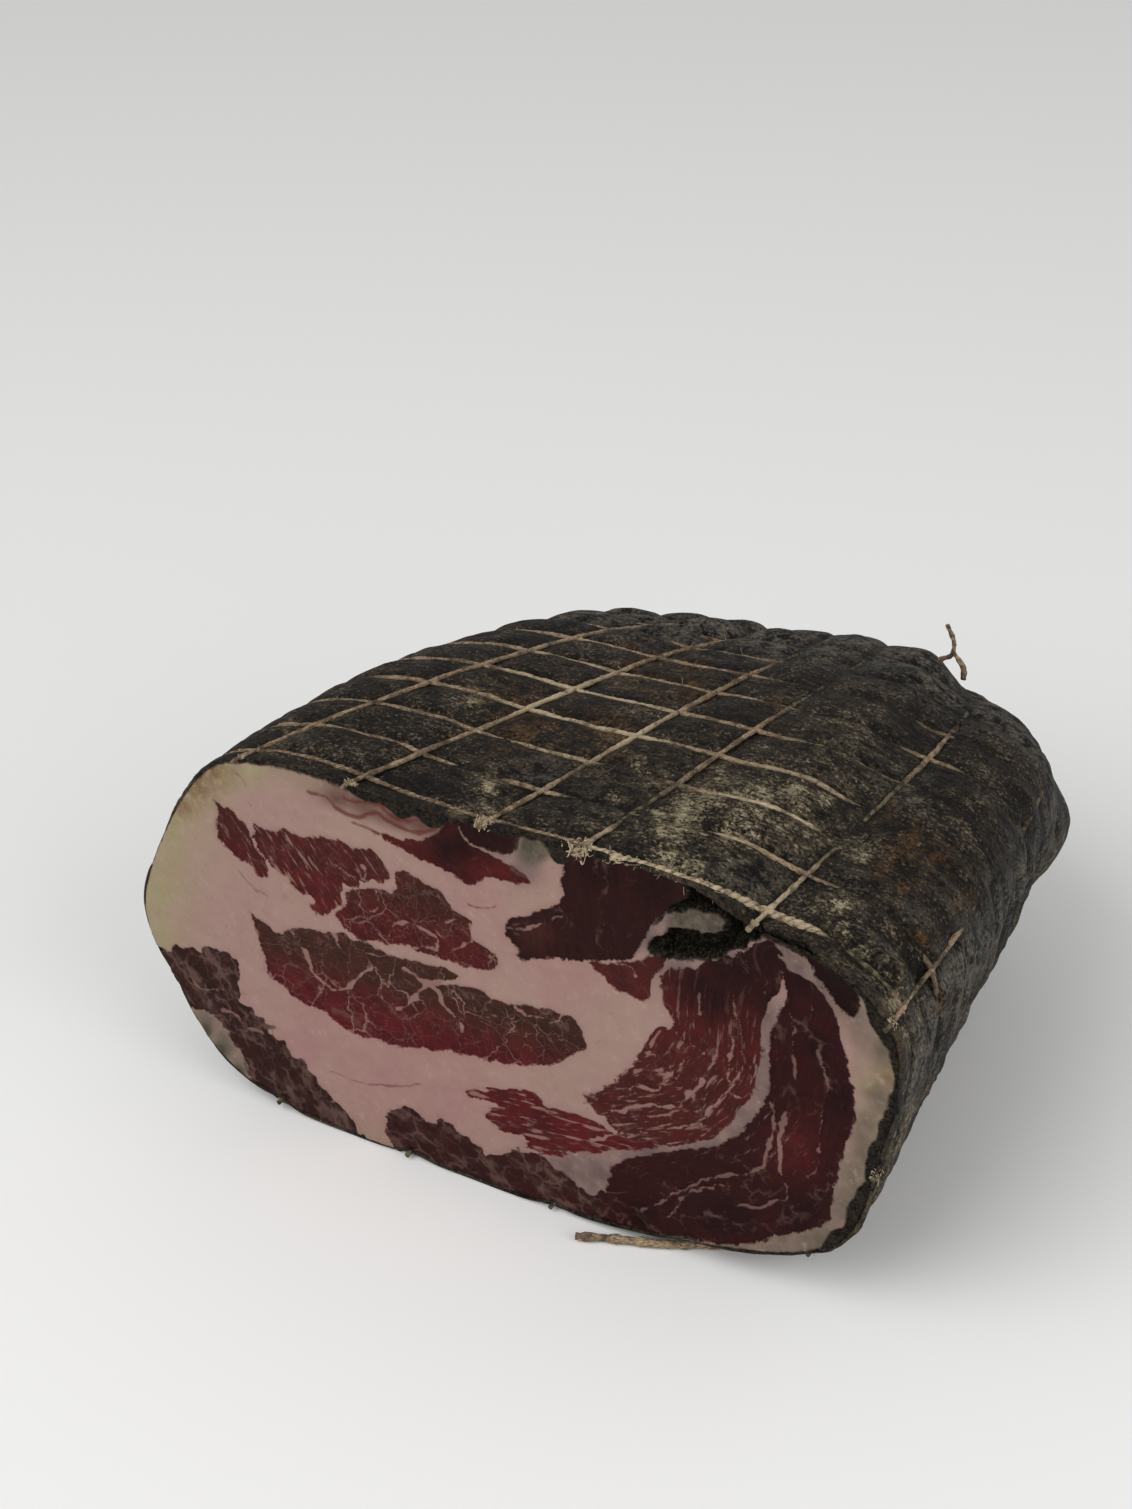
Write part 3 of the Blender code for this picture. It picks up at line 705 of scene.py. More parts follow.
# %% Veins of fat in the lean, and threads of lean in the fat
# Each is its full width in pixels of the photo, then its points.
FAT_VEINS = (
    (1.5, ((229, 814), (237, 826), (245, 836), (252, 846))),
    (3, ((190, 976), (198, 985), (208, 990), (224, 988))),
    (5, ((222, 1010), (236, 1014), (246, 1026), (262, 1032))),
    (4.5, ((289, 929), (297, 941), (304, 951), (310, 964), (315, 975), (329, 985), (339, 992),
           (349, 986), (360, 976), (370, 968))),
    (4, ((334, 932), (338, 943), (342, 950))),
    (4.5, ((404, 969), (414, 976), (426, 984), (416, 996), (406, 1006), (397, 1010))),
    (4, ((428, 981), (438, 991), (443, 1004), (456, 1016), (463, 1026), (462, 1032))),
    (2.5, ((483, 990), (474, 996), (475, 1009), (481, 1019))),
    (3, ((517, 1007), (527, 1016), (546, 1019))),
    (3, ((563, 1012), (559, 1020), (551, 1022))),
    (5, ((426, 984), (440, 981), (458, 981), (480, 983))),
    (3, ((361, 866), (365, 874), (360, 879))),
    (2.5, ((334, 864), (349, 874), (364, 880))),
    (3.5, ((387, 943), (389, 932), (399, 923), (414, 926), (428, 932), (438, 939), (436, 949),
           (423, 946), (411, 950))),
    (2.5, ((442, 923), (453, 922), (461, 917))),
    (3, ((470, 925), (473, 940), (456, 947), (449, 950))),
    (2, ((375, 889), (379, 902), (375, 910), (366, 909))),
    (3, ((505, 928), (517, 928), (531, 928), (548, 922), (563, 916))),
    (4, ((614, 962), (626, 965), (631, 969), (636, 977))),
    (4, ((631, 1089), (645, 1087), (656, 1090), (667, 1077), (679, 1068), (684, 1059))),
    (4, ((607, 1111), (621, 1112), (628, 1106), (645, 1105), (677, 1106), (689, 1094), (704, 1081))),
    (3, ((591, 1141), (620, 1135), (642, 1134), (649, 1131), (676, 1128), (698, 1122), (712, 1110),
         (719, 1098))),
    (3, ((730, 1035), (734, 1047), (728, 1062), (731, 1091), (741, 1099))),
    (2.5, ((736, 994), (736, 1016), (741, 1035), (745, 1064))),
    (4, ((700, 994), (699, 1006), (701, 1016))),
    (3, ((765, 991), (767, 1006))),
    (4, ((771, 1104), (775, 1122), (771, 1137), (767, 1154), (761, 1168), (736, 1174), (700, 1183),
         (668, 1197), (642, 1212))),
    (4, ((787, 1113), (781, 1127), (779, 1147), (780, 1171), (788, 1189))),
    (2.5, ((819, 1050), (824, 1067), (827, 1086), (823, 1098), (822, 1122), (819, 1147), (816, 1171),
           (807, 1176))),
    (2.5, ((790, 1013), (794, 1030), (793, 1054), (796, 1081))),
    (3.5, ((736, 1204), (758, 1207), (775, 1202), (787, 1199), (787, 1185))),
    (3, ((810, 1006), (810, 1021))),
    (3.5, ((668, 1218), (680, 1200), (694, 1191), (722, 1186))),
)
LEAN_THREADS = (
    (4.5, ((309, 792), (326, 797), (339, 808), (359, 816), (376, 812), (391, 821), (406, 829),
           (421, 832), (436, 826))),
    (3.5, ((344, 796), (361, 801), (381, 805), (399, 818), (419, 822), (433, 817))),
    (3.0, ((372, 800), (390, 806), (406, 812), (420, 815), (436, 811))),
    (3.5, ((353, 822), (369, 828), (389, 836))),
    (2.0, ((233, 771), (241, 777), (245, 786))),
    (1.8, ((247, 801), (251, 805))),
    (1.6, ((240, 870), (252, 884), (268, 896))),
    (1.4, ((470, 905), (482, 908), (496, 906))),
    (1.5, ((330, 1070), (360, 1082), (395, 1086), (420, 1084))),
    (5.0, ((612, 1170), (630, 1165), (652, 1162))),
)
# The seam between the two right-hand muscles; their fibres run beside it.
MAIN_SEAM = (
    (776, 962), (783, 990), (772, 1008), (768, 1030), (765, 1070), (760, 1092), (746, 1110),
    (733, 1128), (717, 1139), (681, 1148), (644, 1152), (600, 1158),
)
CLEFT = (
    (686, 883), (702, 890), (720, 902), (740, 915), (755, 925), (763, 934), (750, 945), (731, 953),
    (712, 959), (693, 963), (672, 960), (651, 956), (645, 944), (653, 931), (663, 914), (676, 905),
    (683, 897),
)
TONGUE = (
    (624, 966), (634, 946), (643, 936), (655, 924), (666, 916), (680, 912), (701, 913), (716, 915),
    (725, 921), (724, 932), (708, 935), (693, 929), (674, 930), (659, 934), (650, 945), (640, 957),
)
print("muscles:", len(MUSCLES), "veins:", len(FAT_VEINS))

# %% Distances to outlines and lines


def open_curve(points, steps):
    """A Catmull-Rom curve through points, its two ends carried on by mirroring."""
    points = np.array(points, float)
    ends = np.vstack([2 * points[:1] - points[1:2], points, 2 * points[-1:] - points[-2:-1]])
    return np.vstack([closed_curve(ends, steps)[steps : -2 * steps], points[-1:]])


def line_distance(points, line):
    """The distance from each point to a line of segments, and how far along the line that is: the
    nearest foot over all segments, each foot being the point's share along it, kept within it."""
    best = np.full(len(points), np.inf)
    along = np.zeros(len(points))
    start = 0.0
    for a, b in zip(line[:-1], line[1:]):
        step = b - a
        length = np.hypot(*step)
        share = np.clip((points - a) @ step / length**2, 0, 1)
        away = np.hypot(*(points - a - share[:, None] * step).T)
        nearer = away < best
        best = np.where(nearer, away, best)
        along = np.where(nearer, start + share * length, along)
        start += length
    return best, along


# %% Inside and outside an outline


def inside(points, outline):
    """Whether each point is inside a closed outline: a ray to the right crosses it an odd number of
    times."""
    crossings = np.zeros(len(points), bool)
    for a, b in zip(outline, np.roll(outline, -1, 0)):
        spans = (a[1] > points[:, 1]) != (b[1] > points[:, 1])
        rise = b[1] - a[1] if b[1] != a[1] else 1e-9
        crossings ^= spans & (points[:, 0] < (b[0] - a[0]) * (points[:, 1] - a[1]) / rise + a[0])
    return crossings


FAR = 4.0


def near_box(points, line, margin):
    """Whether each point is in the box round a line, made larger by the margin on every side."""
    low, high = line.min(0) - margin, line.max(0) + margin
    return ((points > low) & (points < high)).all(1)


def signed_distance(points, outline):
    """Millimetres inside the outline, negative outside it; no further than FAR is worked out."""
    value = np.full(len(points), -FAR)
    close = near_box(points, outline, FAR)
    away, _ = line_distance(points[close], np.vstack([outline, outline[:1]]))
    value[close] = np.where(inside(points[close], outline), away, -away)
    return value


# %% [markdown]
# ### The grid of the face
# A square grid is squeezed into a disc by x * sqrt(1 - y^2 / 2), and the disc is stretched to the cut
# outline direction by direction. The cells stay close to square and about 0.3 mm wide everywhere.

# %% The grid of the face
FACE_COLUMNS, FACE_ROWS = 396, 212
FACE_INSET = 0.3
MIDDLE = np.array([0.0, CUT_HEIGHT / 2])
HALF_SIZE = np.array([CUT_WIDTH, CUT_HEIGHT]) / 2

fine_girth = np.linspace(0, GIRTH, 900, endpoint=False)
face_outline = cut_place(fine_girth) + FACE_INSET * inward_at_cut(fine_girth)
spokes = (face_outline - MIDDLE) / HALF_SIZE
spoke_angle = np.arctan2(spokes[:, 1], spokes[:, 0])
in_order = np.argsort(spoke_angle)
spoke_angle, spoke_reach = spoke_angle[in_order], np.hypot(*spokes[in_order].T)

u, v = np.meshgrid(np.linspace(-1, 1, FACE_COLUMNS), np.linspace(-1, 1, FACE_ROWS))
disc_x, disc_z = u * np.sqrt(1 - v**2 / 2), v * np.sqrt(1 - u**2 / 2)
angle, reach = np.arctan2(disc_z, disc_x), np.hypot(disc_x, disc_z)
stretch = reach * np.interp(angle, spoke_angle, spoke_reach, period=2 * np.pi)
face_xz = MIDDLE + (stretch[..., None] * np.stack([np.cos(angle), np.sin(angle)], -1)) * HALF_SIZE
flat = face_xz.reshape(-1, 2)
print("face cells in mm:", np.round(CUT_WIDTH / FACE_COLUMNS, 2), np.round(CUT_HEIGHT / FACE_ROWS, 2))

# %% [markdown]
# ### Lean, fat and everything between
# The outlines are wavered by noise first, because muscle edges are never smooth, and each point takes
# its colours from the muscle it is deepest in. Mottled muscles have a torn edge and flecked ones a
# combed edge, where noise stretched along the fibres moves it. The veins that can be made out are drawn
# as lines. The finer marbling is left to the material, which must know how the fibres run there: so
# each point also keeps its place along and across the fibres, and how much it has of each marbling.

# %% How each muscle is marbled
# The fibres' direction in degrees from level, or None where they run beside the main seam; then how
# much there is of flecks along the fibres, of a fine net of veins, and of soft pale mottles.
MARBLING = {
    "collar_tip": (-56, 0.85, 0.05, 0.0), "upper_left": (-56, 0.95, 0.1, 0.0),
    "upper_middle": (-35, 0.6, 0.3, 0.0), "big_oval": (-4, 0.4, 0.42, 0.0),
    "eye": (85, 0.1, 0.05, 0.0), "under_eye": (-40, 0.3, 0.1, 0.0),
    "lid_upper": (-10, 0.1, 0.0, 0.0), "lid_lower": (-12, 0.3, 0.0, 0.0),
    "left_flank": (-62, 0.2, 0.12, 1.1), "bottom_left": (-20, 0.3, 0.1, 0.9),
    "bottom_streaks": (6, 1.0, 0.05, 0.0), "seamed_inner": (None, 1.0, 0.05, 0.0),
    "seamed_outer": (None, 0.65, 0.0, 0.12), "corner": (-50, 0.2, 0.0, 0.0),
}

# %% Uneven lines


def sway(points, grain, seed, octaves=1):
    """Two values of noise a point, to move it by in two directions."""
    return np.stack([noise(points, grain, seed, octaves), noise(points, grain, seed + 10, octaves)], -1)


def drawn_lines(lines, points, share, unevenness, grain, seed):
    """Millimetres inside the nearest line, negative outside, -1 when far: this share of the line's
    width, made uneven by noise, less the distance to its middle."""
    total = np.full(len(flat), -1.0)
    for width, pixels in lines:
        line = on_cut_face(open_curve(pixels, 4))
        close = near_box(flat, line, 2)
        away, _ = line_distance(points[close], line)
        half = share * width * PIXEL * (1 + unevenness * noise(flat[close], grain, seed))
        total[close] = np.maximum(total[close], half - away)
    return total


# %% Lean or fat, as a distance in mm
MUSCLES_APART = 20.0
seam_away, seam_along = line_distance(flat, on_cut_face(open_curve(MAIN_SEAM, 4)))
# Slow and fast noise moves the places at which an outline is looked up, by up to half a millimetre.
wavered = flat + 0.32 * sway(flat, 2.4, 101, 2) + 0.16 * sway(flat, 0.8, 121)
lean = np.full(len(flat), -FAR)
brown, dark = np.zeros((2, len(flat)))
fibre, marbled = np.zeros((2, len(flat), 3))
for order, (name, ((brown_above, brown_below, darkness), pixels)) in enumerate(MUSCLES.items()):
    outline = on_cut_face(closed_curve(pixels, 3))
    depth_in = signed_distance(wavered, outline)
    owner = depth_in > lean
    low_z, high_z = outline[:, 1].min(), outline[:, 1].max()
    up = np.clip((flat[:, 1] - low_z) / (high_z - low_z), 0, 1)
    brown = np.where(owner, brown_below + (brown_above - brown_below) * ramp(up, 0.25, 0.75), brown)
    dark = np.where(owner, darkness, dark)
    direction, *kinds = MARBLING[name]
    if direction is None:
        along, across = seam_along, seam_away
    else:
        cosine, sine = np.cos(np.radians(direction)), np.sin(np.radians(direction))
        along, across = flat @ (cosine, sine), flat @ (-sine, cosine)
    fibre[owner] = np.column_stack([along, across, np.full(len(flat), MUSCLES_APART * order)])[owner]
    marbled[owner] = kinds
    lean = np.maximum(lean, depth_in)

# Noise tears the edges of mottled muscles, and noise drawn out along the fibres combs flecked ones.
torn = marbled[:, 2] * (1.1 * noise(flat, 1.5, 351, 3) - 0.15)
combed = ramp(marbled[:, 0], 0.8, 1.0) * noise(fibre * (0.12, 1, 1), 0.8, 361, 2)
lean = lean + ramp(lean, -1.5, 0) * (torn + combed)
jagged = wavered + 0.3 * sway(flat, 1.1, 251, 2)
vein = drawn_lines(FAT_VEINS, jagged, 0.38, 1.2, 1.8, 241)
thread = drawn_lines(LEAN_THREADS, wavered, 0.5, 0.5, 2.2, 281)
print("lean share of the face:", round(float((lean > 0).mean()), 2))

# %% Where the face is yellow, greyed, mouldy and so on
# Each spot is its pixel and its reach in mm.
FACE_SPOTS = {
    "yellow": (
        (149, 890, 5.5), (156, 845, 5), (152, 928, 4), (168, 815, 4.5), (196, 788, 3.5),
        (215, 772, 3.5), (250, 772, 2), (883, 1085, 3.0), (885, 1120, 3.0), (870, 1180, 2.5),
    ),
    "greyed": (
        (850, 1030, 5), (862, 1130, 3.5), (850, 1170, 4), (884, 1050, 3), (880, 1100, 3),
        (868, 1160, 5), (852, 1205, 6), (820, 1235, 5), (790, 1240, 6), (740, 1238, 5), (700, 1228, 4),
        (640, 1222, 4), (208, 1022, 2.6), (226, 1042, 2.8), (244, 1066, 2.6),
    ),
    "mouldy": (
        (684, 921, 2.2), (700, 918, 2.6), (716, 922, 2.6), (534, 847, 2.4), (546, 840, 2.4),
        (205, 1030, 1.2), (220, 1052, 1.4), (236, 1074, 1.4),
    ),
    "darkened": (
        (735, 962, 9), (765, 955, 9), (800, 975, 7), (780, 1000, 5), (720, 1215, 7), (800, 1215, 7),
        (640, 1215, 5), (600, 870, 8), (655, 885, 8), (845, 1000, 5), (700, 985, 4), (825, 965, 5),
        (480, 835, 4), (462, 845, 3.5), (448, 850, 3), (840, 1100, 6), (815, 1045, 5), (740, 1222, 6),
        (718, 998, 4),
    ),
    "dim": (
        (768, 1050, 4), (765, 1090, 4), (745, 1125, 4.5), (700, 1148, 5), (645, 1155, 5),
        (590, 1168, 4.5), (783, 955, 3.5), (800, 970, 3), (820, 992, 3), (765, 1020, 3),
        (720, 955, 3.5), (680, 964, 3.5), (672, 925, 2.5), (650, 940, 2.5), (560, 1172, 4.5),
        (600, 1175, 4), (525, 865, 2.5), (500, 845, 2.5),
    ),
    "tan": (
        (195, 786, 3.0), (212, 774, 2.6), (184, 806, 1.6), (886, 1085, 2.2), (892, 1110, 2.4),
    ),
    "rosy": (
        (380, 1070, 9), (310, 1040, 6), (450, 1095, 7), (560, 980, 4), (480, 900, 3),
    ),
    # Meat juices have stained the fat under the rind.
    "flush": (
        (340, 800, 3), (365, 808, 4), (395, 820, 5), (428, 830, 5),
    ),
}
# Lean that stayed fresh in a dark muscle.
FRESH_SPOTS = (
    (517, 873, 2.4), (500, 868, 1.6), (486, 876, 1.4), (535, 935, 2.0), (405, 850, 3), (793, 1150, 3.5),
)

# %% The cleft and the dried crust
CLEFT_DEPTH = 3.0
# Where the crust is thick: pixel, reach in mm and thickness in mm.
SKIN_SPOTS = (
    (888, 1030, 4.5, 2.8), (896, 1060, 3, 1.8), (880, 1165, 6, 2.4), (866, 1210, 6, 2.8),
    (842, 1240, 4, 2.0), (500, 838, 3, 1.2), (559, 858, 2.3, 3.2), (404, 812, 4, 2.0),
    (365, 794, 3, 1.2), (430, 822, 3.5, 2.2), (600, 856, 3, 1.2), (885, 1100, 4, 1.2),
    (889, 1130, 5, 1.8),
)
edge_gap = signed_distance(flat, face_outline[::4])
cleft_in = signed_distance(wavered, on_cut_face(closed_curve(CLEFT, 3)))
tongue_in = signed_distance(wavered, on_cut_face(closed_curve(TONGUE, 3)))
cleft_in = np.minimum(cleft_in, -tongue_in) + 0.7 * noise(flat, 1.8, 291, 3)
cleft = ramp(cleft_in, -0.1, 1.3)
# The crust is thicker to the right and thins out at the upper left, where it was rubbed off.
right_side = ramp(flat[:, 0], 44, 58)
bare_side = ramp(flat[:, 0], -48, -56) * ramp(flat[:, 1], 18, 24)
skin_width = 0.35 + 0.4 * right_side - 0.4 * bare_side
for x, y, reach, width in SKIN_SPOTS:
    seen_at = np.linalg.norm(flat - on_cut_face([(x, y)]), axis=1)
    skin_width = np.maximum(skin_width, width * np.exp(-((seen_at / reach) ** 2)))
skin_width = skin_width * (1 + 0.4 * noise(flat, 2.5, 271, 2))
skin_mm = edge_gap - skin_width

# %% The relief of the face
# In mm: lean lies lower than fat and veins less so, the knife left slow waves and a fine grain, the
# fibres of lean show, mould and crust are crumbly, and the edge is rounded.
proud = -0.22 * ramp(lean, -0.35, 0.35) * (1 - 0.7 * ramp(vein, -0.3, 0.1)) + 0.1
waves = 0.25 * noise(flat, 16, 301, 2) + 0.05 * noise(flat, 1.1, 311, 2)
fibres = 0.06 * noise(fibre * (0.2, 1, 1), 0.7, 321) * ramp(lean, 0, 0.4)
crumbs = 0.9 * noise(flat, 1.3, 331, 3) * np.maximum(cleft, 0.4 * ramp(skin_mm, 0.2, -0.2))
rounded = 0.3 * ramp(edge_gap, 0.5, 0.0)
forward = proud + waves + fibres + crumbs - CLEFT_DEPTH * cleft - rounded
face_front = np.column_stack([flat[:, 0], -forward, np.maximum(flat[:, 1], 0.05)])
print("face relief in mm:", np.round(forward.min(), 2), np.round(forward.max(), 2))

# %% The closed slab of cut meat
SLAB_BACK = 3.0
SLAB_TAPER = 0.95
count = len(face_front)
index = np.arange(count).reshape(FACE_ROWS, FACE_COLUMNS)
border = np.r_[index[0, :-1], index[:-1, -1], index[-1, :0:-1], index[:0:-1, 0]]
wall_xz = MIDDLE + (flat[border] - MIDDLE) * SLAB_TAPER
wall = np.column_stack([wall_xz[:, 0], np.full(len(border), SLAB_BACK), wall_xz[:, 1]])
around = np.arange(len(border))
following = np.roll(around, -1)
wall_faces = np.column_stack([border[around], count + around, count + following, border[following]])
face_faces = [grid_faces(FACE_ROWS, FACE_COLUMNS, False), wall_faces, (count + around[::-1])[None, :]]


def with_wall(values):
    """The wall's points take the values of the border's."""
    return np.concatenate([values, values[border]])


on_face = np.column_stack([flat[:, 0], np.zeros(len(flat)), flat[:, 1]])
face_marks = {name: spots(on_face, places) for name, places in FACE_SPOTS.items()}
face_marks["flush"] *= ramp(edge_gap, 6.0, 2.4)
face_marks |= {
    "lean": lean, "vein": vein, "thread": thread, "edge": edge_gap, "skin": skin_mm, "cleft": cleft_in,
    "brown": brown, "dark": dark * (1 - 0.9 * spots(on_face, FRESH_SPOTS)), "fibre": fibre * MM,
    "marbled": marbled,
}
cut_face = make_piece(
    "marbled_cut_face", np.vstack([face_front, wall]), face_faces,
    {name: with_wall(values) for name, values in face_marks.items()},
)

# %% [markdown]
# ## The twine
# The netting is two-ply hemp, 1.5 mm thick, and about 0.8 mm of it shows above the casing. A strand
# could be a curve with a round bevel, but the two plies are what tells twine from wire, so each strand
# is a profile carried along a path: two lobes that turn once every few millimetres. They show most on
# the front hoop, which is also thicker where it has frayed. Fourteen strands run lengthwise and
# thirteen hoops cross them.

# %% Sizes of the twine, and even steps along a path
TWINE_RADIUS = 0.4
PLY_LAY = 2.6
STRAND_SIDES = 8
STRAND_STEP = 0.4
DEEP_LOBES, HOOP_LOBES, STRING_LOBES = 0.3, 0.2, 0.14  # how far the plies stand out, as a share of r


def even_steps(path, step, closed=False):
    """The path again, as points the same distance apart, by its running length."""
    if closed:
        path = np.vstack([path, path[:1]])
    run = np.r_[0, np.cumsum(np.linalg.norm(np.diff(path, axis=0), axis=1))]
    count = max(int(run[-1] / step), 6)
    places = np.linspace(0, run[-1], count + (not closed), endpoint=not closed)
    return np.stack([np.interp(places, run, path[:, axis]) for axis in range(3)], -1), places


# %% A twisted strand


def strand(
    path, up, radius, seed, closed=False, lobes=DEEP_LOBES, taper=0.0, swell=None, sides=STRAND_SIDES,
):
    """Points, faces and attributes of one twisted strand: at each step of the path a ring of radius
    r * (1 - lobes + lobes * |cos(angle - turn)|) with a little noise, the turn growing along it."""
    path, run = even_steps(path, STRAND_STEP * radius / TWINE_RADIUS, closed)
    ahead = np.roll(path, -1, 0) - np.roll(path, 1, 0)
    if not closed:
        ahead[0], ahead[-1] = path[1] - path[0], path[-1] - path[-2]
    ahead /= np.linalg.norm(ahead, axis=1, keepdims=True)
    up = np.broadcast_to(up, path.shape) if np.ndim(up) == 1 else up(path)
    side = np.cross(ahead, up)
    side /= np.linalg.norm(side, axis=1, keepdims=True)
    over = np.cross(side, ahead)
    angle = np.linspace(0, 2 * np.pi, sides, endpoint=False)
    turns = max(np.round(run[-1] * TWINE_RADIUS / radius / PLY_LAY), 1)
    turn = 2 * np.pi * turns * run / run[-1]
    lobe = np.abs(np.cos(angle[None, :] - turn[:, None]))
    size = radius * (1 - lobes + lobes * lobe)
    size = size * (1 + 0.3 * noise(run[:, None] * (1, 0), 1.4, seed, 2))[:, None]
    size = size * (1 - taper * run / run[-1])[:, None]
    if swell:
        size = size * (1 + swell(path))[:, None]
    ring = side[:, None] * np.cos(angle)[None, :, None] + over[:, None] * np.sin(angle)[None, :, None]
    points = path[:, None] + ring * size[..., None]
    rows = len(path)
    if closed:
        faces = [grid_faces(rows + 1, sides, True) % (rows * sides)]
    else:
        caps = np.arange(sides)
        last = (rows - 1) * sides
        faces = [grid_faces(rows, sides, True), caps[None, ::-1], last + caps[None, :]]
    twist = np.stack(np.broadcast_arrays(run[:, None], np.cos(angle), np.sin(angle)), -1)
    # How far down between the plies each point is; the material paints shade there.
    groove = (1 - lobe) * min(lobes / DEEP_LOBES, 1)
    return points.reshape(-1, 3), faces, {"strand": twist.reshape(-1, 3), "groove": groove.reshape(-1)}


# %% Many strands as one


def gather(strands):
    """One set of points, faces and attributes out of many, the corner numbers moved on."""
    first, points, faces, attributes = 0, [], [], {}
    for some_points, some_faces, some_attributes in strands:
        points.append(some_points)
        faces += [face + first for face in some_faces]
        first += len(some_points)
        for name, values in some_attributes.items():
            attributes.setdefault(name, []).append(values)
    return np.vstack(points), faces, {name: np.concatenate(v) for name, v in attributes.items()}


# %% [markdown]
# The strands lie in the grooves of the rind. Where mould has grown over one, it sinks until only its
# back or nothing shows. Each strand keeps how buried it is as an attribute, so that its colour can
# fade into the rind.

# %% Paths over the rind
STRAND_LIFT = 0.34
CROSS_OVER = 0.2
BURIED_DEPTH = 0.8
UNEVEN, SWERVE = 0.12, 0.22
OFF_TABLE = 0.06
MIDDLE_LINE = np.array([5.0, 0.0, 28.0])


def net_path(string, hoop, over):
    """A line of net places as points: the bare skin, up by the lumps, down by the groove, and up
    again by most of a twine radius; a little less where it is buried."""
    girth, back = net_place(string, hoop)
    bare = skin(girth, back)
    near_table, depth = depth_at(bare, hoop)
    cover = buried(bare) * (1 - near_table)
    lift = STRAND_LIFT + over - BURIED_DEPTH * cover
    height = lumps(girth, back) - depth * (1 - SUNK * cover) + lift
    height = height + UNEVEN * noise(bare, 5, 401, 2)
    points = bare + outward(girth, back) * height[..., None]
    points[..., :2] += SWERVE * sway(bare, 3.5, 421, 2)
    points[..., 2] = np.maximum(points[..., 2], TWINE_RADIUS + OFF_TABLE)
    return points


def away_from_middle(path):
    """A direction to measure a strand's turn from: out from the middle line of the meat."""
    return (path - MIDDLE_LINE) * (1, 0, 1)


# %% The hoops and the lengthwise strings
# Where the front hoop is frayed along the cut, and where other twine is pale.
FRAYED_FRONT = (
    (610, 853, 4), (640, 863, 4), (672, 874, 4), (705, 886, 4), (740, 898, 4), (775, 908, 4),
    (800, 916, 3),
)
PALE_TWINE = (
    *FRAYED_FRONT,
    (800, 815, 5), (760, 800, 5), (700, 845, 4), (560, 700, 7), (625, 720, 6),
)
SWELLING = 0.75
HOOP_POINTS, STRING_POINTS = 900, 500
# Strings start near the cut, a little further back without a tuft, and end past the last hoop.
TUFTED_START, PLAIN_START, STRING_END = 0.2, 1.2, LAST_HOOP + 0.6


def swelling(path):
    """The share by which fraying makes a strand thicker: most at the frayed spots of the front."""
    return SWELLING * spots(path, FRAYED_FRONT)


hoops = []
for k, place in enumerate(HOOPS):
    strings = np.linspace(0, GIRTH, HOOP_POINTS, endpoint=False)
    path = net_path(strings, np.full(HOOP_POINTS, place), 0.0)
    plies = HOOP_LOBES if k else DEEP_LOBES
    hoops.append(strand(path, away_from_middle, TWINE_RADIUS, 500 + k, True, plies, swell=swelling))
# The reach of each lengthwise strand's tuft in mm; 0 where the strand ends flush with the cut.
TUFT_LENGTHS = (0.9, 0.5, 1.7, 1.2, 0.8, 0.5, 0, 0, 0.8, 0.6, 0.8, 0, 1.0, 1.0)
lengthwise = []
for k, (place, tuft) in enumerate(zip(STRING_PLACES, TUFT_LENGTHS)):
    places = np.linspace(TUFTED_START if tuft else PLAIN_START, STRING_END, STRING_POINTS)
    path = net_path(np.full(STRING_POINTS, place), places, CROSS_OVER)
    if tuft:
        stub = path[0] + np.array([0, -1.0, 0]) * np.linspace(0.9, 0.2, 4)[:, None]
        path = np.vstack([stub, path])
    lengthwise.append(strand(path, away_from_middle, TWINE_RADIUS, 600 + k, lobes=STRING_LOBES))
print("hoops:", len(hoops), "lengthwise strings:", len(lengthwise))

# %% [markdown]
# Where a lengthwise strand was cut with the meat, its plies have opened into a tuft of fibres. The front
# hoop has frayed along the cut, and loose hairs stand off every strand. A loose tail of twine lies in
# front of the base, and a forked end stands up at the back. Each fibre is a thin tapering strand on a
# random bent path, and the random draws come from one fixed seed.

# %% One fibre
FIBRE_RADIUS, HAIR_RADIUS = 0.15, 0.05
FIBRE_SIDES = 5
draw = np.random.default_rng(77)


def fibre_strand(root, way, length, radius, wildness):
    """A thin strand from root that bends and kinks: root + way * f + bend * f^2 + curl * sin(k * f)."""
    way = way / np.linalg.norm(way)
    bend, curl = draw.normal(0, 0.6, 3), draw.normal(0, wildness, 3)
    f = np.linspace(0, 1, 6)[:, None]
    path = root + way * length * f + bend * length * f**2 + curl * length * np.sin(f * draw.uniform(3, 9))
    path[:, 2] = np.maximum(path[:, 2], radius + 0.05)
    up = np.array([0.3, 0.2, 1.0])
    return strand(path, up, radius * draw.uniform(0.6, 1.2), 700, lobes=0.1, taper=0.3, sides=FIBRE_SIDES)


# %% Tufts, and the frayed front hoop
TUFT_FIBRES, FRAYED_FIBRES = 100, 260
FRAYED_FROM, FRAYED_TO = 30, 60
tufts = []
for place, reach in zip(STRING_PLACES, TUFT_LENGTHS):
    root = net_path(np.array([place]), np.array([0.9]), 0.05)[0]
    out_here = outward(np.array([place]), np.array([0.5]))[0]
    side_here = np.cross(out_here, (0, 1, 0))
    for _ in range(TUFT_FIBRES if reach else 0):
        way = draw.normal(0, 1, 3) + 0.4 * out_here + (0, -0.5, 0)
        start = root + reach * (draw.normal(0, 0.5) * side_here + draw.normal(0, 0.22) * out_here)
        start = start + (0, reach * draw.uniform(-0.6, 0.6), 0)
        tufts.append(fibre_strand(start, way, reach * draw.uniform(0.15, 0.5), FIBRE_RADIUS, 0.2))
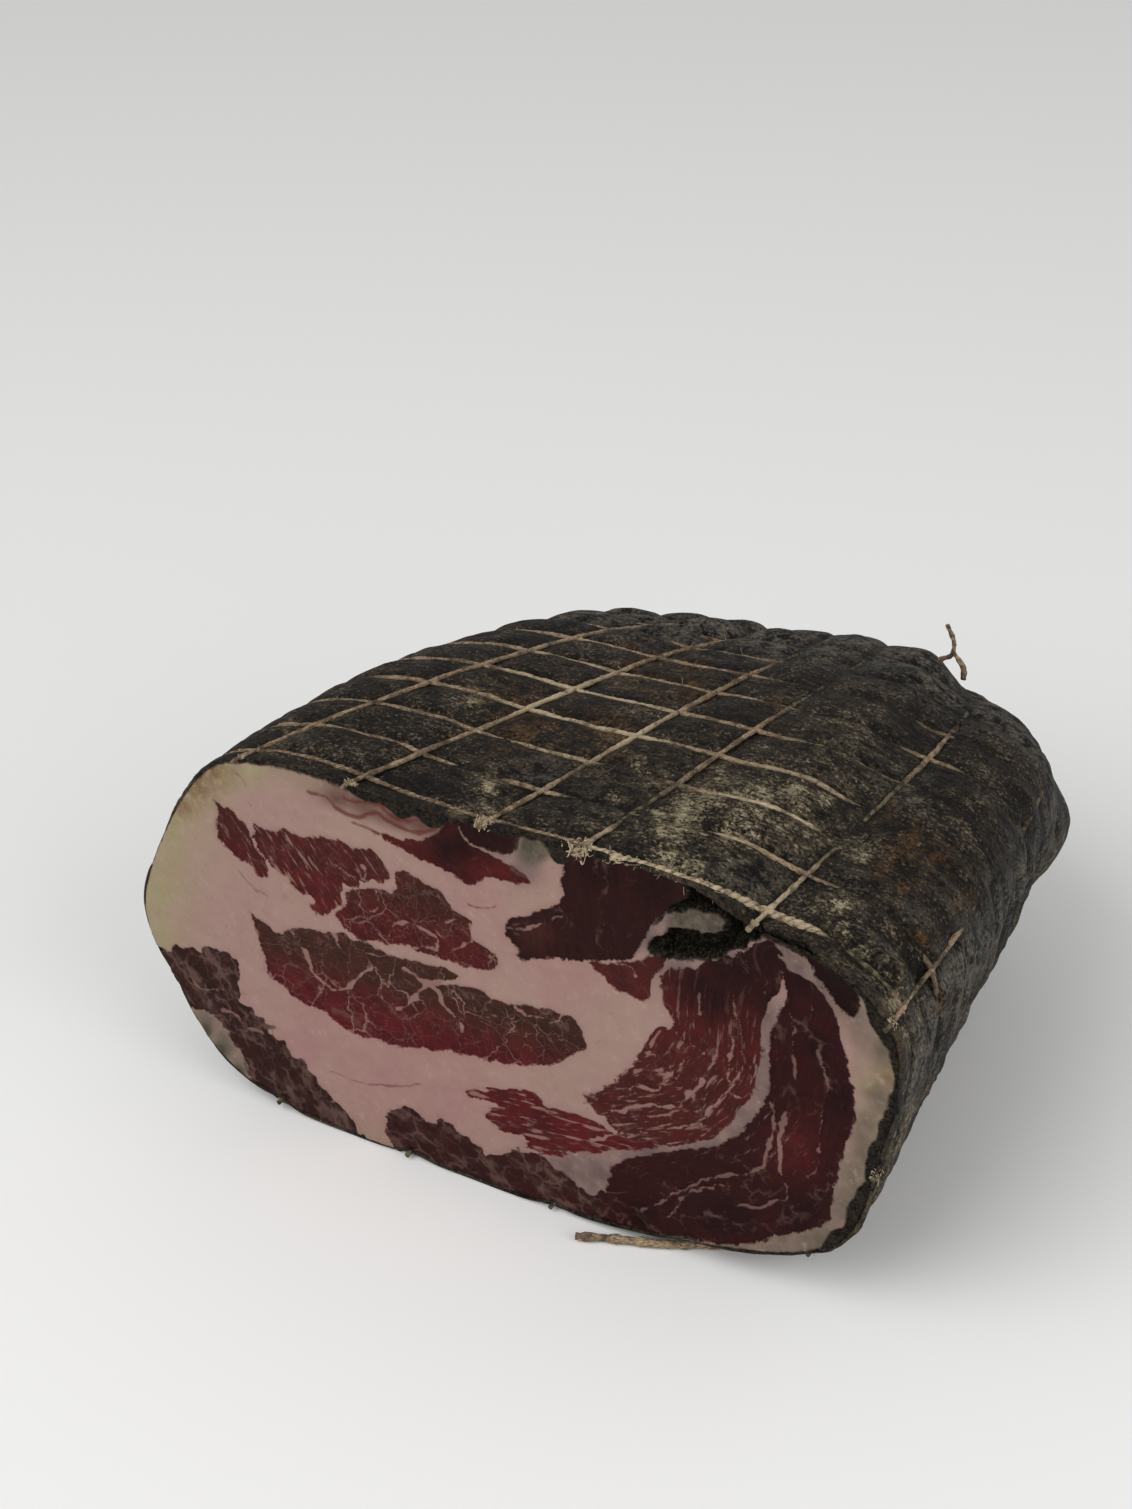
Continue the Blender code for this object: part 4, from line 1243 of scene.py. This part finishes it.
for _ in range(FRAYED_FIBRES):
    on_hoop = net_path(np.array([draw.uniform(FRAYED_FROM, FRAYED_TO)]), HOOPS[:1], 0.1)[0]
    start = on_hoop + draw.normal(0, 0.15, 3)
    way = draw.normal(0, 1, 3) + (0, -0.8, 0)
    tufts.append(fibre_strand(start, way, draw.uniform(0.3, 1.0), 1.2 * HAIR_RADIUS, 0.2))
print("fibres:", len(tufts))

# %% Loose hairs
# Each starts on a strand at a random place, unless that is buried or near the table.
HAIRS = 150
hairs = []
for _ in range(HAIRS):
    if draw.random() < 0.5:
        string_here, hoop_here = draw.choice(STRING_PLACES), draw.uniform(2, 80)
    else:
        string_here, hoop_here = draw.uniform(0, GIRTH), draw.choice(HOOPS[:9])
    start = net_path(np.array([string_here]), np.array([hoop_here]), 0.15)[0]
    if buried(start[None])[0] < 0.5 and start[2] > 3:
        out_here = outward(np.array([string_here]), np.array([hoop_here]))[0]
        way = draw.normal(0, 1, 3) + 0.3 * out_here
        hairs.append(fibre_strand(start, way, draw.uniform(0.5, 1.2), HAIR_RADIUS, 0.15))
tufts += hairs
print("loose hairs:", len(hairs))

# %% Tail and fork
TAIL_RADIUS, TAIL_LOBES = 0.66, 0.15
FORK_RADIUS, FORK_TAPER = 0.5, 0.15
TAIL_PATH = (
    (33.0, 2.8, 3.85), (34.2, 3.6, 2.2), (33.4, 4.0, 0.95), (31.0, 3.0, 0.9), (27.5, 1.0, 0.9),
    (23.0, -0.7, 0.9), (18.5, -2.3, 0.9), (14.7, -4.0, 0.9),
)
FORK_PATHS = (
    ((27.2, 86.9, 52.6), (27.9, 87.0, 53.9), (29.6, 87.0, 55.0), (30.0, 87.0, 57.4), (28.8, 87.0, 60.2)),
    ((31.6, 87.2, 51.2), (31.6, 87.1, 53.3), (29.8, 87.1, 55.6)),
)
loose = [strand(open_curve(TAIL_PATH, 8), np.array([0.1, 0.2, 1.0]), TAIL_RADIUS, 801, lobes=TAIL_LOBES)]
for k, path in enumerate(FORK_PATHS):
    up = np.array([0.0, 1.0, 0.1])
    loose.append(strand(open_curve(path, 8), up, FORK_RADIUS, 811 + k, taper=FORK_TAPER))

# %% The four pieces of twine
PALENESS = 0.8
twine_pieces = []
for name, strands in (
    ("girth_hoops", hoops), ("lengthwise_strings", lengthwise), ("loose_ends", loose),
    ("frayed_tufts", tufts),
):
    points, faces, twine_marks = gather(strands)
    in_net = name in ("girth_hoops", "lengthwise_strings")
    twine_marks["buried"] = buried(points) if in_net else np.zeros(len(points))
    frayed = np.ones(len(points)) if name == "frayed_tufts" else PALENESS * spots(points, PALE_TWINE)
    twine_marks["frayed"] = frayed
    twine_pieces.append(make_piece(name, points, faces, twine_marks))

# %% [markdown]
# ## Materials
# Colours are written as the sRGB hex values that the eye sees, and one function turns them to the
# linear numbers that the shader wants. One small function adds a node with its settings and links,
# and takes a pattern's size in real millimetres. The other helpers say what all three materials are
# made of: sums of patterns, and colours laid over one another where a pattern or an attribute is high.

# %% Colours and nodes
# What nodes of a kind share here: their settings, and the output that is read. Inputs go by number: of
# MapRange 0 is the value, 1 and 2 what it goes from and 3 and 4 to what; of Mix 0 is the share and 6
# and 7 are the colours.
COMMON = {
    "MapRange": ({"interpolation_type": "SMOOTHSTEP"}, "Result"),
    "Mix": ({"data_type": "RGBA"}, 2),
    "TexVoronoi": ({"feature": "DISTANCE_TO_EDGE"}, "Distance"),
    "TexCoord": ({}, "Object"),
}


def linear(colour):
    """sRGB hex to linear: each channel c becomes ((c + 0.055) / 1.055)^2.4, or c / 12.92 when dark.
    A colour that nodes have worked out stays as it is."""
    if not isinstance(colour, str):
        return colour
    channels = np.array([int(colour[i : i + 2], 16) for i in (1, 3, 5)]) / 255
    bright = ((channels + 0.055) / 1.055) ** 2.4
    return (*np.where(channels <= 0.04045, channels / 12.92, bright).tolist(), 1.0)


def add(tree, kind, inputs=None, output=None, **settings):
    """Adds a node and gives one output. An input that is a socket is linked, any other is set, and one
    called mm sets the scale of a pattern whose features are that far across."""
    made = tree.nodes.new("ShaderNode" + kind)
    common, usual = COMMON.get(kind, ({}, 0))
    for name, value in (common | settings).items():
        setattr(made, name, value)
    for key, value in (inputs or {}).items():
        if key == "mm":
            key, value = "Scale", 1 / (value * MM)
        if isinstance(value, bpy.types.NodeSocket):
            tree.links.new(value, made.inputs[key])
        else:
            made.inputs[key].default_value = value
    return made.outputs[usual if output is None else output]


# %% Sums and layers


def weighted(tree, start, *parts):
    """The sum of start and of each pattern times its weight."""
    total = start
    for pattern, weight in parts:
        total = add(tree, "Math", {0: pattern, 1: weight, 2: total}, operation="MULTIPLY_ADD")
    return total


def between(tree, pattern, low, high, first, second):
    """A colour that eases from first to second as the pattern goes from low to high."""
    share = add(tree, "MapRange", {0: pattern, 1: low, 2: high})
    return add(tree, "Mix", {0: share, 6: linear(first), 7: linear(second)})


def painted(tree, colour, *layers):
    """Colours laid over one another. A layer is a pattern, the span over which it eases from nothing to
    its most, that most, and its colour; with no span, the pattern times the most is its share."""
    colour = linear(colour)
    for pattern, span, most, over in layers:
        if span:
            share = add(tree, "MapRange", {0: pattern, 1: span[0], 2: span[1], 4: most})
        else:
            share = add(tree, "Math", {0: pattern, 1: most}, operation="MULTIPLY")
        colour = add(tree, "Mix", {0: share, 6: colour, 7: linear(over)})
    return colour


def new_material(name, attributes=()):
    """A material, its node tree, its place on the object, and the attributes that it reads."""
    made = bpy.data.materials.new(name)
    made.use_nodes = True
    tree = made.node_tree
    read = {}
    for attribute, values in dict(attributes).items():
        output = "Vector" if np.ndim(values) == 2 else "Fac"
        read[attribute] = add(tree, "Attribute", None, output, attribute_name=attribute)
    return made, tree, add(tree, "TexCoord"), read


def finish(tree, colour, height, strength, depth_mm, roughness, specular, ior=1.5):
    """Joins colour, roughness and a bump of this height to the shader; IOR and specular are even."""
    bump = add(tree, "Bump", {"Height": height, "Strength": strength, "Distance": depth_mm * MM})
    shader = tree.nodes["Principled BSDF"]
    tree.links.new(colour, shader.inputs["Base Color"])
    tree.links.new(bump, shader.inputs["Normal"])
    shader.inputs["IOR"].default_value = ior
    shader.inputs["Specular IOR Level"].default_value = specular
    if isinstance(roughness, float):
        shader.inputs["Roughness"].default_value = roughness
    else:
        tree.links.new(roughness, shader.inputs["Roughness"])


# %% [markdown]
# ### Cut cured pork
# Lean: salted muscle, dried for months and sliced with a knife; wine red inside, brown where air got
# at it, darker and harder towards the rind. Fat: white to rose, yellow where it has aged, and slightly
# waxy. The distance attribute decides between them, with fine noise on it, since a muscle edge is
# ragged down to a tenth of a millimetre. Both are dielectrics like water and fat, with an IOR of 1.45.

# %% Cut pork: its patterns
# Noise in lumps of 1.3, 0.4, 3.5 and 14 mm, and three more kinds drawn out along the fibres.
pork, tree, place, on = new_material("sliced_cured_pork", face_marks)
ragged, fine, medium, broad = (
    add(tree, "TexNoise", {"Vector": place, "mm": size, "Detail": detail, "Roughness": roughness})
    for size, detail, roughness in ((1.3, 5, 0.65), (0.4, 2, 0.6), (3.5, 4, 0.6), (14, 2, 0.6))
)
along = add(tree, "Mapping", {"Vector": on["fibre"], "Scale": (0.2, 1, 1)})
thick, thin, streaked = (
    add(tree, "TexNoise", {"Vector": along, "mm": size, "Detail": detail, "Roughness": roughness})
    for size, detail, roughness in ((1.0, 4, 0.6), (0.5, 3, 0.6), (0.45, 3, 0.7))
)
flecked, netted, mottled = add(tree, "SeparateXYZ", {0: on["marbled"]}).node.outputs
waver = weighted(tree, -0.65, (ragged, 1.0), (fine, 0.3))
lean_mm = weighted(tree, on["lean"], (waver, 1.6))

# %% Cut pork: flecks of fat along the fibres
fleck = weighted(tree, thick, (flecked, 0.18))
fleck = add(tree, "MapRange", {0: fleck, 1: 0.73, 2: 0.82, 4: 0.75})
hairline = weighted(tree, thin, (flecked, 0.16))
hairline = add(tree, "MapRange", {0: hairline, 1: 0.72, 2: 0.88, 4: 0.55})
fleck = add(tree, "Math", {0: fleck, 1: hairline}, operation="MAXIMUM")
fading = add(tree, "MapRange", {0: on["darkened"], 1: 0.0, 2: 0.8, 3: 1.0, 4: 0.25})
fleck = add(tree, "Math", {0: fleck, 1: fading}, operation="MULTIPLY")

# %% [markdown]
# The fine net of veins follows the walls between random cells. The cells' coordinates are bent by
# noise, which turns their straight walls into crooked ones, and slower noise lets the net fade out in
# places. Large cells have wider veins than small ones.

# %% Cut pork: the net of veins and the soft mottles
# Cell and half width in mm, and the span of the slower noise over which the net fades in.
VEIN_CELLS = ((5.5, 0.3, 0.46, 0.64), (2.4, 0.14, 0.6, 0.78))
BEND_MM = 3.2
bent = add(tree, "TexNoise", {"Vector": place, "mm": 1.8, "Detail": 4.0}, "Color")
bent = add(tree, "VectorMath", {0: bent, 1: (0.5, 0.5, 0.5)}, operation="SUBTRACT")
bent = add(tree, "VectorMath", {0: bent, "Scale": BEND_MM * MM}, operation="SCALE")
bent = add(tree, "VectorMath", {0: bent, 1: place}, operation="ADD")
net = 0.0
for cell, half_width, low, high in VEIN_CELLS:
    walls = add(tree, "TexVoronoi", {"Vector": bent, "mm": cell})
    seen = add(tree, "TexNoise", {"Vector": place, "mm": 1.7 * cell, "Detail": 2, "Roughness": 0.6})
    seen = add(tree, "MapRange", {0: seen, 1: low, 2: high, 4: half_width / cell})
    width = add(tree, "Math", {0: netted, 1: seen}, operation="MULTIPLY")
    beyond = add(tree, "Math", {0: walls, 1: width}, operation="SUBTRACT")
    lines = add(tree, "MapRange", {0: beyond, 1: 0.02, 2: -0.02})
    net = add(tree, "Math", {0: net, 1: lines}, operation="MAXIMUM")
strength = add(tree, "MapRange", {0: netted, 1: 0.0, 2: 0.3, 4: 0.75})
net = add(tree, "Math", {0: net, 1: strength}, operation="MULTIPLY")
drawn = add(tree, "MapRange", {0: weighted(tree, on["vein"], (waver, 0.7)), 1: -0.1, 2: 0.12, 4: 0.85})
veined = add(tree, "Math", {0: fleck, 1: net}, operation="MAXIMUM")
veined = add(tree, "Math", {0: veined, 1: drawn}, operation="MAXIMUM")
across = add(tree, "Mapping", {"Vector": on["fibre"], "Scale": (0.5, 1, 1)})
clouds = add(tree, "TexNoise", {"Vector": across, "mm": 3.2, "Detail": 5, "Roughness": 0.62})
walls = add(tree, "MapRange", {0: add(tree, "TexVoronoi", {"Vector": bent, "mm": 3.4}), 1: 0.16, 2: 0.0})
mottle = weighted(tree, clouds, (walls, 0.14), (mottled, 0.15))
mottle = add(tree, "MapRange", {0: mottle, 1: 0.64, 2: 0.92, 4: 0.8})

# %% Cut pork: the colours of fat
# A layer with a span eases in where its pattern passes through the span, and the last ones lie on top.
tanned = between(tree, ragged, 0.4, 0.65, "#6E583C", "#8C7656")
greyed = add(tree, "MapRange", {0: on["edge"], 1: 9.0, 2: 3.0})
greyed = add(tree, "Math", {0: on["greyed"], 1: greyed}, operation="MULTIPLY")
flushed = add(tree, "MapRange", {0: medium, 1: 0.2, 2: 0.7, 3: 0.7, 4: 1.0})
flushed = add(tree, "Math", {0: on["flush"], 1: flushed}, operation="MULTIPLY")
fat = painted(
    tree, between(tree, broad, 0.35, 0.65, "#957B70", "#957770"),
    (on["rosy"], None, 1.0, "#96716D"),
    (lean_mm, (-1.2, 0.0), 0.35, "#8C6660"),
    (on["edge"], (5.0, 0.0), 0.5, "#7F7159"),
    (on["yellow"], None, 1.0, "#918766"),
    (on["tan"], None, 1.0, tanned),
    (on["dim"], None, 0.9, "#5A4A49"),
    (greyed, None, 1.0, "#5E5347"),
    (medium, (0.3, 0.8), 0.35, "#A48B80"),
    (ragged, (0.44, 0.28), 0.3, "#7C5F58"),
    (ragged, (0.56, 0.72), 0.3, "#AE998D"),
    (flushed, None, 1.0, "#573A33"),
    (weighted(tree, on["thread"], (waver, 0.35)), (-0.25, 0.2), 0.8, "#5A2A25"),
)

# %% Cut pork: the colours of lean
darker = add(tree, "Math", {0: on["darkened"], 1: 0.9}, operation="MULTIPLY")
darker = add(tree, "Math", {0: on["dark"], 1: darker}, operation="MAXIMUM")
dried = add(tree, "MapRange", {0: on["skin"], 1: 2.4, 2: 0.2, 4: 0.8})
darker = add(tree, "Math", {0: darker, 1: dried}, operation="MAXIMUM")
lean_colour = painted(
    tree, between(tree, medium, 0.3, 0.7, "#420F13", "#57181A"),
    (on["brown"], None, 1.0, between(tree, medium, 0.3, 0.7, "#301B15", "#3E2219")),
    (streaked, (0.52, 0.78), 0.35, "#652723"),
    (streaked, (0.5, 0.25), 0.4, "#220B0C"),
    (darker, None, 1.0, "#160607"),
    (mottle, None, 1.0, "#5E4640"),
    (veined, None, 1.0, painted(tree, "#8C6B62", (darker, None, 1.0, "#5A4541"))),
)

# %% Cut pork: lean, mould, dried crust and the cleft's painted shade over the fat
crumb = weighted(tree, 0.0, (ragged, 0.4), (fine, 0.6))
surface = painted(
    tree, fat,
    (lean_mm, (-0.18, 0.18), 1.0, lean_colour),
    (weighted(tree, on["mouldy"], (waver, 0.4)), (0.15, 0.75), 0.9,
     between(tree, ragged, 0.35, 0.65, "#39352B", "#5A5445")),
    (weighted(tree, on["skin"], (waver, 0.8)), (0.4, -0.2), 1.0,
     between(tree, crumb, 0.4, 0.66, "#0C0A08", "#30281F")),
    # The cleft: near black as painted shade in its depth, up to a dark olive of mouldy crumbs.
    (weighted(tree, on["cleft"], (waver, 1.0)), (-0.25, 0.15), 1.0,
     between(tree, crumb, 0.46, 0.72, "#0C0A08", "#3C382B")),
)
waxy = add(tree, "MapRange", {0: medium, 1: 0.3, 2: 0.7, 3: 0.42, 4: 0.58})
finish(tree, surface, fine, strength=0.35, depth_mm=0.1, roughness=waxy, specular=0.07, ior=1.45)
cut_face.data.materials.append(pork)
print("nodes in the cut pork:", len(tree.nodes))

# %% [markdown]
# ### Mouldy rind
# Dried natural casing, nearly black where it is bare. Grey, olive and cream moulds have coated it in specks
# half a millimetre wide, more on the ridges of the wrinkles than in the pits and thick in the hazy places.
# Rusty blotches show where fat came through, and the bare skin to the right and at the tied end has a bloom
# like ash. It is dry and matt, and only the bare skin has a dull shine. Light and shade are also painted
# into its colour: painted shade in tiny pits, in the creases, in the hollows of the large folds and down in
# the grooves beside the strings; painted highlights on tiny specks and on the ridges of the folds; and one
# dark brown spot among the rusty blotches is the painted shadow of the other half, which lay on top of this
# one.

# %% Mouldy rind: its patterns
casing, tree, place, on = new_material("mouldy_casing", rind_marks)
around = add(tree, "Mapping", {"Vector": place, "Scale": (0.42, 1.0, 0.42)})
stretched = add(tree, "Mapping", {"Vector": place, "Scale": (0.85, 1.0, 0.85)})
speck, glints_and_pits, streak, crease, crust, patch = (
    add(tree, "TexNoise", {"Vector": vector, "mm": size, "Detail": detail, "Roughness": roughness})
    for vector, size, detail, roughness in (
        (stretched, 0.55, 4, 0.65), (stretched, 0.45, 2, 0.6), (around, 1.0, 5, 0.68),
        (around, 2.4, 5, 0.62), (place, 2.6, 6, 0.7), (place, 9, 5, 0.65),
    )
)
# A crease is where slow noise crosses its middle.
crease = add(tree, "Math", {0: crease, 1: 0.5}, operation="SUBTRACT")
crease = add(tree, "Math", {0: crease}, operation="ABSOLUTE")
crease = add(tree, "MapRange", {0: crease, 1: 0.03, 2: 0.0})
# Dust lies on what stands out: fine grains, on coarser and coarser patches, on the mouldy places.
dust = weighted(
    tree, -0.45, (speck, 1.0), (crust, 0.5), (patch, 0.4), (on["pale"], 0.22), (on["hazy"], 0.09),
)
ashen = weighted(tree, -0.2, (speck, 0.4), (streak, 0.4), (crust, 0.6))
blotch = weighted(tree, 0.0, (speck, 0.4), (crust, 0.6))
# Tiny specks for painted highlights and tiny pits for painted shade, lifted where crust and patches are
# high.
glints_and_pits = weighted(tree, glints_and_pits, (crust, 0.3), (patch, 0.5))

# %% Mouldy rind: its colours
surface = painted(
    tree, between(tree, streak, 0.32, 0.68, "#0D0A08", "#33291F"),
    (on["ashy"], None, 1.0, between(tree, ashen, 0.41, 0.57, "#100F0E", "#69655D")),
    (on["hazy"], None, 0.75, between(tree, crust, 0.36, 0.66, "#1A1613", "#524A3C")),
    (dust, (0.54, 0.66), 0.7, "#504335"),
    (dust, (0.63, 0.82), 0.85, between(tree, streak, 0.36, 0.64, "#7A705A", "#BDB190")),
    (dust, (0.46, 0.36), 0.8, "#060505"),
    # Rusty blotches, and in one spot the painted shadow of the other half.
    (on["rust"], None, 0.9, between(tree, blotch, 0.42, 0.58, "#0A0604", "#5A3F21")),
    # Painted light and shade on the large folds: lighter on their ridges, near black in their hollows.
    (on["fold"], (0.1, 0.42), 0.25, "#6A645B"),
    (on["fold"], (-0.05, -0.6), 0.75, "#080706"),
    # Painted shade in the creases.
    (crease, None, 0.65, "#0A0807"),
    # Painted highlights on tiny raised specks, then painted shade in tiny pits.
    (glints_and_pits, (0.98, 1.1), 0.5, "#857A68"),
    (glints_and_pits, (0.86, 0.74), 0.85, "#070605"),
    (on["rim"], None, 0.8, between(tree, dust, 0.42, 0.62, "#0E0B09", "#40362A")),
    # Painted shade down in the grooves beside the strings.
    (on["groove"], (0.5, 1.0), 0.55, "#0D0B09"),
)
matt = add(tree, "MapRange", {0: dust, 1: 0.45, 2: 0.75, 3: 0.6, 4: 0.95})
height = weighted(tree, dust, (streak, 0.7), (crease, -0.25), (glints_and_pits, 0.25))
finish(tree, surface, height, strength=1.0, depth_mm=0.7, roughness=matt, specular=0.18, ior=1.45)
rind.data.materials.append(casing)
print("nodes in the rind:", len(tree.nodes))

# %% [markdown]
# ### Hemp twine
# Undyed hemp, spun and plied: matt and tan, with painted shade between the plies that leaves the crown of
# each ply brighter, and straw pale where it has frayed. It has taken up brown and specks of dirt from the
# rind, with small painted highlights between them, and where mould covers it, it has the colour of the
# rind.

# %% Hemp twine
hemp, tree, place, on = new_material("hemp_twine", twine_marks)
# Hairs run along the strand, so this noise is drawn out that way and turns with the plies.
spun = add(tree, "Mapping", {"Vector": on["strand"], "Scale": (1.6, 5.0, 5.0)})
hair = add(tree, "TexNoise", {"Vector": spun, "Scale": 1.0, "Detail": 3.0})
stain, dirt_and_highlights = (
    add(tree, "TexNoise", {"Vector": place, "mm": size, "Detail": detail, "Roughness": 0.6})
    for size, detail in ((3.5, 4), (1.2, 3))
)
cover = weighted(tree, -0.3, (on["buried"], 1.0), (stain, 0.6))
colour = painted(
    tree, between(tree, hair, 0.35, 0.65, "#68543F", "#B29B80"),
    (stain, (0.42, 0.66), 0.75, "#44352A"),
    (on["frayed"], None, 1.0, painted(tree, "#9F8B6C", (hair, None, 1.0, "#DECDAE"))),
    # Dark specks of dirt, then small painted highlights where the same noise is low.
    (dirt_and_highlights, (0.51, 0.66), 0.65, "#3A3026"),
    (dirt_and_highlights, (0.42, 0.3), 0.5, "#BCA98C"),
    # Painted shade down between the plies.
    (on["groove"], (0.3, 0.95), 0.65, "#2A2018"),
    (cover, (0.05, 0.5), 0.9, between(tree, dirt_and_highlights, 0.4, 0.62, "#221E19", "#6E6550")),
)
finish(tree, colour, hair, strength=0.7, depth_mm=0.25, roughness=0.9, specular=0.15)
for piece in twine_pieces:
    piece.data.materials.append(hemp)
print("nodes in the twine:", len(tree.nodes))

# %% [markdown]
# ## What stands for what
# The dressed pieces take the place of the imported solids, which are hidden but stay for collisions. Each
# rides on the one body.

# %% Riding and replacing
for piece, node, slot in (
    (rind, "coppa_half", "rind"), (cut_face, "coppa_half", "cut_meat"),
    *((piece, "twine_netting", "twine") for piece in twine_pieces),
):
    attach(piece, "root")
    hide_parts(node)

# %% [markdown]
# ## Floor and light
# The half stands on a plain pale floor. A large soft light hangs in front of it to the left, a weaker
# one to the right, and the pale surroundings fill in the rest, as in a product photo.

# %% Floor
FLOOR_HALF = 3.0
corners = np.array([(-1, -1, 0), (1, -1, 0), (1, 1, 0), (-1, 1, 0)]) * FLOOR_HALF
floor_mesh = bpy.data.meshes.new("floor")
floor_mesh.from_pydata(corners.tolist(), [], [(0, 1, 2, 3)])
floor = bpy.data.objects.new("floor", floor_mesh)
bpy.context.scene.collection.objects.link(floor)
paper = bpy.data.materials.new("pale_paper")
paper.use_nodes = True
shader = paper.node_tree.nodes["Principled BSDF"]
shader.inputs["Base Color"].default_value = linear("#F6F6F5")
shader.inputs["Roughness"].default_value = 0.9
floor_mesh.materials.append(paper)
floor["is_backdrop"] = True

# %% Lights
# Name, watts, side in m and place in m.
LIGHTS = (
    ("key_softbox", 6.6, 0.9, (-0.25, -0.75, 0.8)),
    ("right_softbox", 3.8, 0.8, (0.9, -0.25, 0.5)),
)
for name, watts, side, spot in LIGHTS:
    lamp = bpy.data.lights.new(name, "AREA")
    lamp.shape = "SQUARE"
    lamp.size = side
    lamp.energy = watts
    holder = bpy.data.objects.new(name, lamp)
    holder.location = spot
    holder.rotation_euler = (-Vector(spot)).to_track_quat("-Z", "Y").to_euler()
    bpy.context.scene.collection.objects.link(holder)
world = bpy.data.worlds.new("pale_room")
world.use_nodes = True
world.node_tree.nodes["Background"].inputs["Color"].default_value = linear("#F4F4F4")
world.node_tree.nodes["Background"].inputs["Strength"].default_value = 0.5
bpy.context.scene.world = world
bpy.context.scene.view_settings.view_transform = "Standard"

# %% Size of the dressed model
low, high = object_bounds()
print("dressed box in mm:", [round(1000 * side, 1) for side in high - low])
